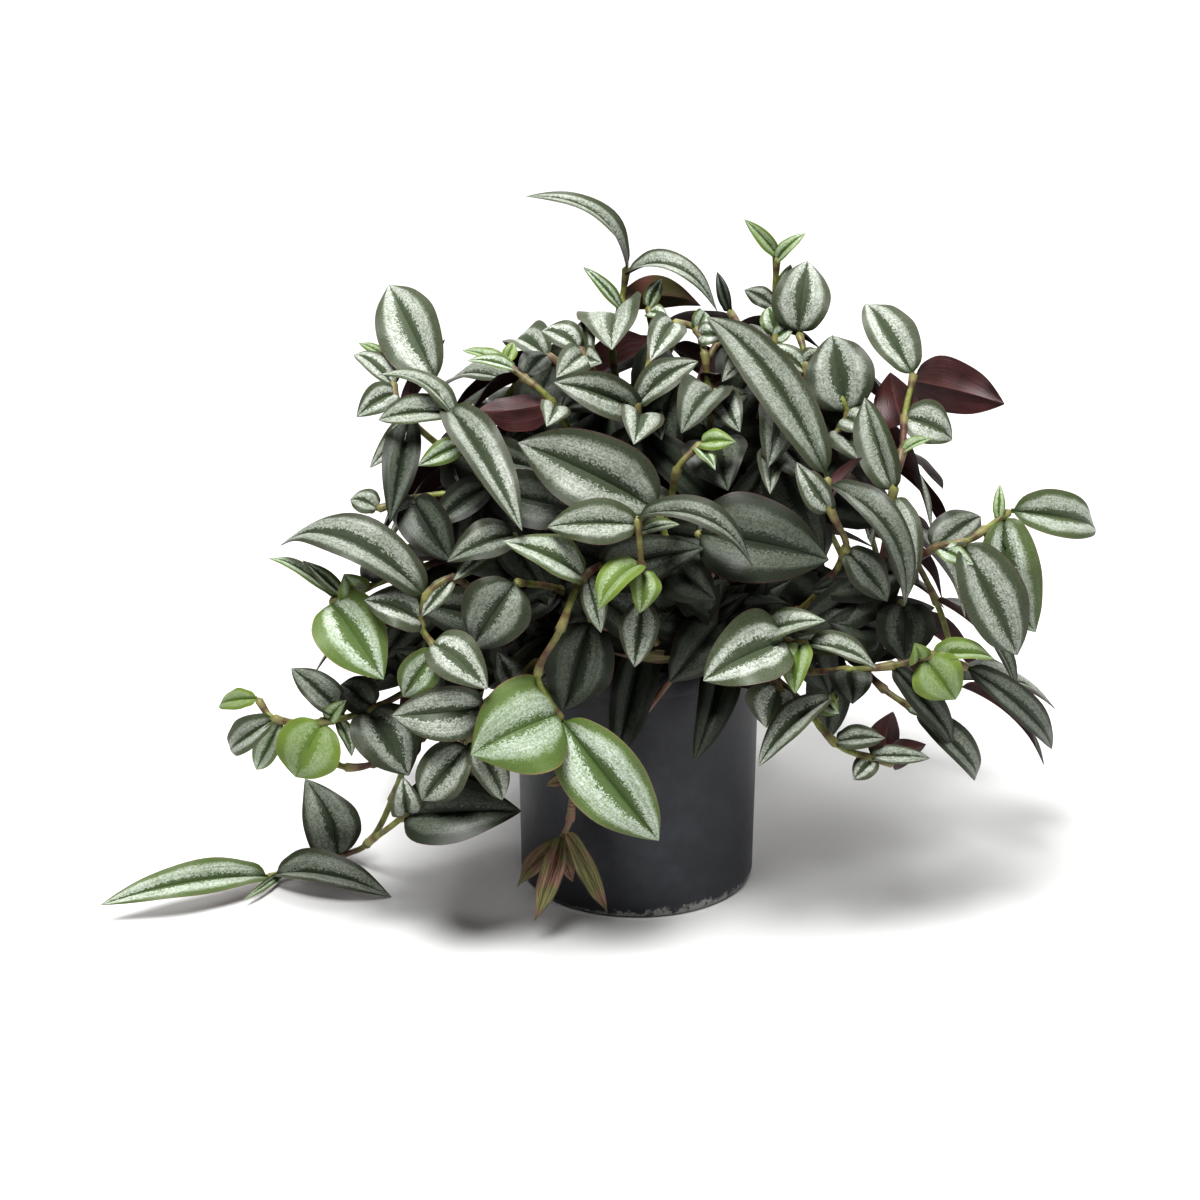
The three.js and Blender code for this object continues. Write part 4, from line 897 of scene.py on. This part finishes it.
def stem_surface(item):
    """A tube round the stem's line, a little slimmer than the solid. Its radius falls from root to tip,
    swells at each joint, and steps out by the thickness of the sheath, which flares to a hairy mouth. The
    last ring closes to a blunt end."""
    line, stops = route(item, item["shift"], 7)
    run = np.concatenate([[0], np.cumsum(np.linalg.norm(np.diff(line, axis=0), axis=1))])
    fine = np.arange(0, run[-1], TUBE_STEP)
    path = np.stack([np.interp(fine, run, line[:, k]) for k in range(3)], 1)
    share = fine / run[-1]
    joint, wrap, loose_by = np.zeros((3, len(fine)))
    for stop in stops:
        top = run[stop]
        node = top - SHEATH_LONG
        joint = np.maximum(joint, np.exp(-(((fine - node) / JOINT_HALF) ** 2)))
        held_by = smooth_step(fine, node, node + 2) * (fine < top)
        wrap = np.maximum(wrap, held_by)
        flare = SHEATH_THICK + SHEATH_FLARE * smooth_step(fine, node, top)
        loose_by = np.maximum(loose_by, held_by * flare)
    radius = stem_radius(share) * TUBE_SLIM * (1 + JOINT_SWELL * joint) + loose_by
    radius[-1] *= TUBE_END
    rings = tube_rings(path, TUBE_SIDES, radius)
    points, faces = [rings.reshape(-1, 3)], grid_faces(len(path), TUBE_SIDES)
    looks = [np.repeat(np.stack([share, joint, wrap], 1), TUBE_SIDES, 0)]
    for mouth in np.flatnonzero((wrap[:-2] > 0) & (wrap[1:-1] == 0)):
        hairs, spikes = mouth_hairs(rings[mouth], path[mouth], unit(path[mouth + 1] - path[mouth]))
        faces += (spikes + sum(len(part) for part in points)).tolist()
        points.append(hairs)
        looks.append(np.tile([share[mouth], 0, 1], (len(hairs), 1)))
    marks = np.pad(np.concatenate(looks), ((0, 0), (0, 5)))
    return np.concatenate(points), faces, marks, np.full(len(faces), 2)


def lens_faces(rows, columns, across):
    """Triangles over a leaf's closed grid, cut the same way above and below so the two skins never cross, and
    a flat cap on its first and last row. Says which faces are the upper skin."""
    a, b, c, d, caps = grid_corners(rows, columns)
    below = np.broadcast_to(np.arange(columns) >= across - 1, a.shape)
    first = np.stack([a, b, np.where(below, d, c)], -1)
    second = np.stack([np.where(below, b, a), c, d], -1)
    faces = np.stack([first, second], 2).reshape(-1, 3).tolist()
    return faces + caps, np.concatenate([np.repeat(below.astype(int).ravel(), 2), [0, 0]])


def leaf_marks(young, seed, t, v):
    """What the leaf's skins read at each of its points, two numbers to a UV map: v and t; its age, which is 0
    in an old leaf, 1 in a grown one and 2 in a young one, and is lowered deep in the mound as painted shade,
    and how tender it is; where the dark middle stripe ends, which bellies by the sine of pi t, and where the
    silver band ends; how silver the band is, and the leaf's seed."""
    age = smooth_step(young, *OLD_TO_GROWN) + smooth_step(young, *GROWN_TO_YOUNG)
    tender = smooth_step(young, *TENDER)
    stripe_end = GRAIN_MIDDLE + 0.03 + np.sin(np.pi * t) * (0.1 + 0.16 * seed)
    band_end = GRAIN_MIDDLE + 0.48 + (0.1 + 0.22 * (seed * 7.3 % 1)) * smooth_step(t, 0, 0.3)
    silver = between(*SILVER, smooth_step(young, 0, 0.12)) * (0.7 + 0.3 * seed) * (1 - 0.4 * tender)
    silver = silver * smooth_step(t, 0.02, 0.13)
    marks = np.broadcast_arrays(v, t, age, tender, stripe_end, band_end, silver, seed)
    return np.stack(marks, -1).reshape(-1, 8)


def leaf_surface(item, seed, crumple=1):
    """A leaf as a closed lens. t runs from base to tip and v across, -1 at one edge, 0 on the midrib, 1 at
    the other. The midrib arches by 4t(1-t). The half width is the root of t times (1-t) to 0.95, over what
    that is at its widest, 0.393, and wanders a little by a sine, out of step on the two sides. Each half
    leans up by its own share of the fold, bulges, ripples and rolls towards its edge; the blade twists a
    little as it goes and droops at its tip. A dry leaf's crumple makes more of the ripple and the twist. A
    blade that would dip into the ground is lifted onto it, more from base to tip."""
    rng = np.random.default_rng(seed)
    rows, across = (SHADE_ROWS, SHADE_COLUMNS) if item.get("plain") else (LEAF_ROWS, LEAF_COLUMNS)
    t = ((1 - np.cos(np.linspace(0.03, 1, rows) * np.pi)) / 2)[:, None]
    top = np.linspace(-1, 1, across)
    v = np.concatenate([top, top[-2:0:-1]])[None, :]
    below = (np.arange(v.shape[1]) >= across)[None, :]
    chord = item["tip"] - item["base"]
    long = np.linalg.norm(chord)
    side = unit(np.cross(chord, item["normal"]))
    sway = item["normal"] * item["arch"] + side * item["bow"]
    centre = item["base"] + chord * t + sway * 4 * t * (1 - t)
    up = np.cross(side, chord + sway * 4 * (1 - 2 * t))
    up = up / np.linalg.norm(up, axis=1)[:, None]
    twist = np.radians(rng.uniform(-TWIST, TWIST)) * crumple * (t - TWIST_FROM)
    level = side * np.cos(twist) + up * np.sin(twist)
    up = up * np.cos(twist) - side * np.sin(twist)
    grown = np.clip((t - BASE_SHARE) / (1 - BASE_SHARE), 0, 1)
    half = item["wide"] * FULL / 2 * np.sqrt(grown) * (1 - t) ** NARROWING / WIDEST
    half = half + BASE_HALF * (1 - smooth_step(t, 0.02, 0.16))
    half = half * (1 + EDGE_WANDER * np.sin(2 * np.pi * (1.1 * t + rng.uniform(0, 1) + 0.37 * np.sign(v))))
    slim = min(1, max(0.35, long / item["wide"] / 2.2))
    fold = np.radians(between(FOLD_BASE, FOLD_TIP, t) * slim * rng.uniform(*FOLDS))
    fold = fold * (1 + rng.uniform(-UNEVEN, UNEVEN) * np.sign(v))
    out = np.abs(v)
    bulge = half * rng.uniform(*BULGES) * out * (1 - out) * 4 * (1 - 0.5 * out)
    turns = rng.uniform(*RIPPLES)
    wave = np.sin(2 * np.pi * (turns * t + rng.uniform(0, 1) + 0.28 * np.sign(v)))
    ripple = half * RIPPLE * crumple * out**2 * wave
    curl = -CURL * long * smooth_step(t, 0.7, 1) * rng.uniform(0, 1)
    rolled = half * rng.uniform(*ROLLS) * smooth_step(out, 0.55, 1.2)
    lift = half * out * np.sin(fold) + bulge + (ripple + rolled) * smooth_step(t, 0, 0.2) + curl
    thick = EDGE_THICK + (MIDRIB_THICK - EDGE_THICK) * (1 - out) ** 1.6
    thick = thick / 2 * np.where(t > TIP_FROM, TIP_THIN, 1)
    groove = GROOVE_DEEP * np.exp(-((v / GROOVE_HALF) ** 2)) * np.where(below, -1, 1)
    lift = lift + np.where(below, -thick, thick) * np.where(out > 0.999, 0, 1) - groove
    points = centre[:, None, :] + level[:, None, :] * (v * half * np.cos(fold))[:, :, None]
    points = points + up[:, None, :] * lift[:, :, None]
    sunk = max(0, LYING - points[:, :, 2].min())
    points[:, :, 2] += sunk * smooth_step(t, 0, 0.3)
    faces, chosen = lens_faces(rows, v.shape[1], across)
    # Painted shade: the deeper a leaf lies in the mound, the more its tone is darkened towards an old leaf's,
    # in part also for age.
    old = smooth_step(depth_inside(centre[len(centre) // 2]), *DEEP_SHADE_AND_AGE_DEPTHS)
    youth = item["young"] * (1 - (DEEP_SHADE_AND_AGE_UP_STEM if item["at"] > 0 else 1) * old)
    marks = leaf_marks(youth, rng.uniform(0, 1), t, v)
    return points.reshape(-1, 3), faces, marks, chosen


def read_marks(tree, title):
    """The two numbers that a piece's points hold in one of its UV maps."""
    pair = add(tree, "SeparateXYZ", {0: add(tree, "UVMap", uv_map=title)})
    return pair.outputs["X"], pair.outputs["Y"]


def by_age(tree, age, oldest, grown, youngest):
    """A colour that goes from an old leaf's over a grown leaf's to a young leaf's, for an age of 0, 1, 2."""
    older = add(tree, "Mix", {0: age, 6: oldest, 7: grown})
    youth = add(tree, "Math", {0: age, 1: 1.0}, operation="SUBTRACT")
    return add(tree, "Mix", {0: youth, 6: older, 7: youngest})


def veins(tree, across, along, seed, count):
    """Fine parallel veins: noise drawn out along the leaf, far finer across it, and moved by its seed."""
    side = add(tree, "Math", {0: across, 1: count}, operation="MULTIPLY")
    length = add(tree, "Math", {0: along, 1: 2.4}, operation="MULTIPLY")
    apart = add(tree, "Math", {0: seed, 1: 57.0}, operation="MULTIPLY")
    place = add(tree, "CombineXYZ", {0: side, 1: length, 2: apart})
    return add(tree, "TexNoise", {"Vector": place, "Scale": 1.0, "Detail": 2})


def leaf_upper_skin():
    """A living leaf's upper skin: satin green to grey-green, with two silver bands where air lies under the
    skin. Its cells are about 0.1 mm and would not show, so its grains are drawn 0.7 mm. Fine veins run
    along it."""
    material, tree, place = new_material("striped_leaf_upper_skin")
    across, along = read_marks(tree, "Place")
    age, tender = read_marks(tree, "Age")
    stripe_end, band_end = read_marks(tree, "Bands")
    strength, seed = read_marks(tree, "Tone")
    out = add(tree, "Math", {0: across}, operation="ABSOLUTE")

    wander = add(tree, "TexNoise", {"Vector": place, "Scale": 110, "Detail": 3})
    speckle = add(tree, "TexVoronoi", {"Vector": place, "Scale": 1500})
    grain = add(tree, "SeparateXYZ", {0: speckle.outputs["Color"]}).outputs["X"]
    moved = add(tree, "Math", {0: wander, 1: 0.14, 2: out}, operation="MULTIPLY_ADD")
    frayed = add(tree, "Math", {0: grain, 1: 0.14, 2: moved}, operation="MULTIPLY_ADD")
    past_stripe = add(tree, "Math", {0: frayed, 1: stripe_end}, operation="SUBTRACT")
    past_band = add(tree, "Math", {0: frayed, 1: band_end}, operation="SUBTRACT")
    inner = add(tree, "MapRange", {"Value": past_stripe, "From Min": -0.04, "From Max": 0.06},
                interpolation_type="SMOOTHSTEP")
    outer = add(tree, "MapRange", {"Value": past_band, "From Min": 0.06, "From Max": -0.05})
    band = add(tree, "Math", {0: inner, 1: outer}, operation="MULTIPLY")

    near_edge = add(tree, "MapRange", {"Value": past_band, "From Min": -0.3, "From Max": 0.0},
                    interpolation_type="SMOOTHSTEP")
    middle = by_age(tree, age, "#20261c", "#3e4a31", "#4a5f2a")
    margin = by_age(tree, age, "#1b1f15", "#363f26", "#506426")
    green = add(tree, "Mix", {0: near_edge, 6: middle, 7: margin})
    rim = add(tree, "MapRange", {"Value": out, "From Min": 0.955, "From Max": 0.99, "To Max": 0.8})
    brown = by_age(tree, age, "#3a1e20", "#4d302a", "#7d6543")
    green = add(tree, "Mix", {0: rim, 6: green, 7: brown})

    cells = add(tree, "MapRange", {"Value": grain, "From Min": -0.2, "From Max": 0.9})
    dim = by_age(tree, age, "#3c4435", "#707a64", "#82976a")
    bright = by_age(tree, age, "#666d61", "#cdd1c9", "#d2dbd2")
    silver = add(tree, "Mix", {0: cells, 6: dim, 7: bright})
    streak = veins(tree, across, along, seed, 22.0)
    streaked = add(tree, "MapRange", {"Value": streak, "From Min": 0.32, "From Max": 0.62, "To Min": 0.62})
    faint = add(tree, "MapRange", {"Value": band, "To Min": 0.09})
    full = add(tree, "Math", {0: faint, 1: strength}, operation="MULTIPLY")
    lit = add(tree, "Math", {0: full, 1: streaked}, operation="MULTIPLY")
    colour = add(tree, "Mix", {0: lit, 6: green, 7: silver})

    lime = add(tree, "Math", {0: tender, 1: 0.42}, operation="MULTIPLY")
    colour = add(tree, "Mix", {0: lime, 6: colour, 7: "#7a9038"})
    mottle = add(tree, "TexNoise", {"Vector": place, "Scale": 55, "Detail": 3})
    dulled = add(tree, "MapRange", {"Value": mottle, "From Min": 0.4, "From Max": 0.7, "To Max": 0.22})
    colour = add(tree, "Mix", {0: dulled, 6: colour, 7: green})

    relief = add(tree, "Math", {0: grain, 1: 0.6, 2: streak}, operation="MULTIPLY_ADD")
    satin = add(tree, "MapRange", {"Value": mottle, "From Min": 0.3, "From Max": 0.7,
                                   "To Min": 0.4, "To Max": 0.56})
    return finished(material, colour, satin, 1.36, relief, 0.2, 0.0003)


def leaf_under_skin():
    """A living leaf's underside: maroon from its pigment and blotched, greener in young leaves, with a paler
    midrib and veins. It is duller than the upper skin."""
    material, tree, place = new_material("maroon_leaf_underside")
    across, along = read_marks(tree, "Place")
    age, _ = read_marks(tree, "Age")
    _, seed = read_marks(tree, "Tone")
    blotch = add(tree, "TexNoise", {"Vector": place, "Scale": 70, "Detail": 4})
    patch = add(tree, "MapRange", {"Value": blotch, "From Min": 0.35, "From Max": 0.65})
    maroon = add(tree, "Mix", {0: patch, 6: "#200d0b", 7: "#462422"})
    fresh = add(tree, "Mix", {0: patch, 6: "#6a6b42", 7: "#84604d"})
    youth = add(tree, "Math", {0: age, 1: 1.0}, operation="SUBTRACT")
    colour = add(tree, "Mix", {0: youth, 6: maroon, 7: fresh})
    out = add(tree, "Math", {0: across}, operation="ABSOLUTE")
    midrib = add(tree, "MapRange", {"Value": out, "From Min": 0.08, "From Max": 0.0, "To Max": 0.4})
    colour = add(tree, "Mix", {0: midrib, 6: colour, 7: "#6c4540"})
    streak = veins(tree, across, along, seed, 26.0)
    vein = add(tree, "MapRange", {"Value": streak, "From Min": 0.45, "From Max": 0.7, "To Max": 0.25})
    colour = add(tree, "Mix", {0: vein, 6: colour, 7: "#6b444a"})
    return finished(material, colour, 0.46, 1.42, streak, 0.4, 0.0004)


def stem_skin():
    """A living stem: smooth green flushed with red-brown towards its root, darker at its joints, with pale
    papery sheaths above them."""
    material, tree, place = new_material("jointed_stem_skin")
    run, joint = read_marks(tree, "Place")
    wrap, _ = read_marks(tree, "Age")
    fleck = add(tree, "TexNoise", {"Vector": place, "Scale": 260, "Detail": 5, "Roughness": 0.65})
    flecked = add(tree, "MapRange", {"Value": fleck, "From Min": 0.35, "From Max": 0.65})
    brown = add(tree, "Mix", {0: flecked, 6: "#3b2523", 7: "#654a3f"})
    green = add(tree, "Mix", {0: flecked, 6: "#5b602c", 7: "#868c4c"})
    flush = add(tree, "TexNoise", {"Vector": place, "Scale": 38, "Detail": 2})
    reach = add(tree, "Math", {0: run, 1: 0.3, 2: flush}, operation="MULTIPLY_ADD")
    share = add(tree, "MapRange", {"Value": reach, "From Min": 0.57, "From Max": 0.79})
    colour = add(tree, "Mix", {0: share, 6: brown, 7: green})
    ringed = add(tree, "Math", {0: joint, 1: 0.8}, operation="MULTIPLY")
    colour = add(tree, "Mix", {0: ringed, 6: colour, 7: "#4f2b29"})
    sheathed = add(tree, "Math", {0: wrap, 1: 0.4}, operation="MULTIPLY")
    colour = add(tree, "Mix", {0: sheathed, 6: colour, 7: "#86795a"})
    return finished(material, colour, 0.45, 1.42, fleck, 0.4, 0.0005)


def withered_skin():
    """A dead leaf or stem: papery, tan and olive with pink-brown patches and dark veins, dull all over."""
    material, tree, place = new_material("withered_papery_skin")
    across, along = read_marks(tree, "Place")
    _, seed = read_marks(tree, "Tone")
    streak = veins(tree, across, along, seed, 9.0)
    veined = add(tree, "MapRange", {"Value": streak, "From Min": 0.4, "From Max": 0.6})
    tan = add(tree, "Mix", {0: veined, 6: "#5a5836", 7: "#87845a"})
    pink = add(tree, "Mix", {0: veined, 6: "#704e45", 7: "#a07f70"})
    patch = add(tree, "TexNoise", {"Vector": place, "Scale": 75, "Detail": 4})
    blotch = add(tree, "MapRange", {"Value": patch, "From Min": 0.46, "From Max": 0.62})
    colour = add(tree, "Mix", {0: blotch, 6: tan, 7: pink})
    out = add(tree, "Math", {0: across}, operation="ABSOLUTE")
    rim = add(tree, "MapRange", {"Value": out, "From Min": 0.86, "From Max": 0.98, "To Max": 0.7})
    colour = add(tree, "Mix", {0: rim, 6: colour, 7: "#3f2a22"})
    return finished(material, colour, 0.68, 1.42, streak, 0.7, 0.0008)


leaf_skins = [leaf_upper_skin(), leaf_under_skin(), stem_skin()]
dry_skin = withered_skin()


def make_leafy_stem(item, number):
    """The stem and its leaves as one piece, with the marks that its skins read as UV maps."""
    dry = item["name"] == "dried_shoot"
    crumple = DRY_CRUMPLE if dry else 1
    parts = [stem_surface(item)]
    parts += [leaf_surface(one, number * SEEDS_APART + n, crumple) for n, one in enumerate(item["placed"])]
    counts = np.cumsum([0] + [len(part[0]) for part in parts])
    faces = [[corner + first for corner in face] for part, first in zip(parts, counts) for face in part[1]]
    points, marks, chosen = (np.concatenate([part[k] for part in parts]) for k in (0, 2, 3))
    skins = [dry_skin] * 3 if dry else leaf_skins
    plant = piece(f"leafy_{item['name']}", points, faces, skins, chosen, smooth=60)
    corners = np.zeros(len(plant.data.loops), np.int32)
    plant.data.loops.foreach_get("vertex_index", corners)
    for k, title in enumerate(MARKS):
        layer = plant.data.uv_layers.new(name=title)
        layer.data.foreach_set("uv", marks[corners, 2 * k:2 * k + 2].ravel())
    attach(plant, "root")
    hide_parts(item["name"])


for number, item in enumerate(stems):
    make_leafy_stem(item, number)


# The floor, the light and the camera
# A plain pale floor under soft studio light: a wide lamp over the front left, a faint one at the right, one
# behind the plant, and a faint white surround. The camera stands a little above and looks down at it.
LIGHT_AIM = (0, 0, 0.14)
SURROUND = 0.03


def matt_white_board():
    """Painted board: matt and pale, with a very faint mottle."""
    material, tree, place = new_material("matt_white_board")
    mottle = add(tree, "TexNoise", {"Vector": place, "Scale": 3, "Detail": 2})
    colour = add(tree, "Mix", {0: mottle, 6: "#d5d5d4", 7: "#dadad9"})
    board = add(tree, "BsdfPrincipled", {"Base Color": colour, "Roughness": 0.9})
    add(tree, "OutputMaterial", {"Surface": board})
    return material


def make_floor():
    """A sheet that is level under the plant, curves up behind it by a quarter circle, and stands upright."""
    bend, start, high, front, half, under = 900, 700, 2600, 2600, 3000, 0.4
    turn_up = np.linspace(0, np.pi / 2, 24)
    y = np.concatenate([[-front], start + bend * np.sin(turn_up), [start + bend]])
    z = np.concatenate([[0], bend * (1 - np.cos(turn_up)), [high]]) - under
    points = np.stack([np.tile([-half, half], len(y)), np.repeat(y, 2), np.repeat(z, 2)], 1)
    faces = [[2 * i, 2 * i + 1, 2 * i + 3, 2 * i + 2] for i in range(len(y) - 1)]
    piece("floor", points, faces, [matt_white_board()], smooth=80)


def make_light(name, place, size, watts):
    lamp = bpy.data.lights.new(name, "AREA")
    lamp.shape = "DISK"
    lamp.size = size
    lamp.energy = watts
    obj = bpy.data.objects.new(name, lamp)
    obj.location = place
    obj.rotation_euler = look_along(np.array(LIGHT_AIM) - np.array(place))
    bpy.context.scene.collection.objects.link(obj)


def look_along(aim):
    """The turn that points an object's own -Z along a direction with its top upwards."""
    flat = math.hypot(aim[0], aim[1])
    return (math.atan2(flat, -aim[2]), 0, math.atan2(-aim[0], aim[1]))


def make_camera():
    camera = bpy.data.cameras.new("camera")
    camera.lens = LENS
    camera.sensor_width = SENSOR
    obj = bpy.data.objects.new("camera", camera)
    obj.location = EYE * MM
    obj.rotation_euler = look_along(VIEW_AIM - EYE)
    bpy.context.scene.collection.objects.link(obj)
    bpy.context.scene.camera = obj


make_floor()
make_light("window", (-0.35, -0.8, 1.9), 0.9, 60)
make_light("fill", (1.5, -0.7, 0.8), 1.0, 6)
make_light("back", (0.5, 1.0, 1.6), 1.6, 24)
world = bpy.data.worlds.new("surround")
world.use_nodes = True
surround = world.node_tree.nodes["Background"].inputs
surround["Color"].default_value = (1, 1, 1, 1)
surround["Strength"].default_value = SURROUND
scene = bpy.context.scene
scene.world = world
scene.view_settings.view_transform = "Standard"
scene.view_settings.look = "Medium High Contrast"
make_camera()
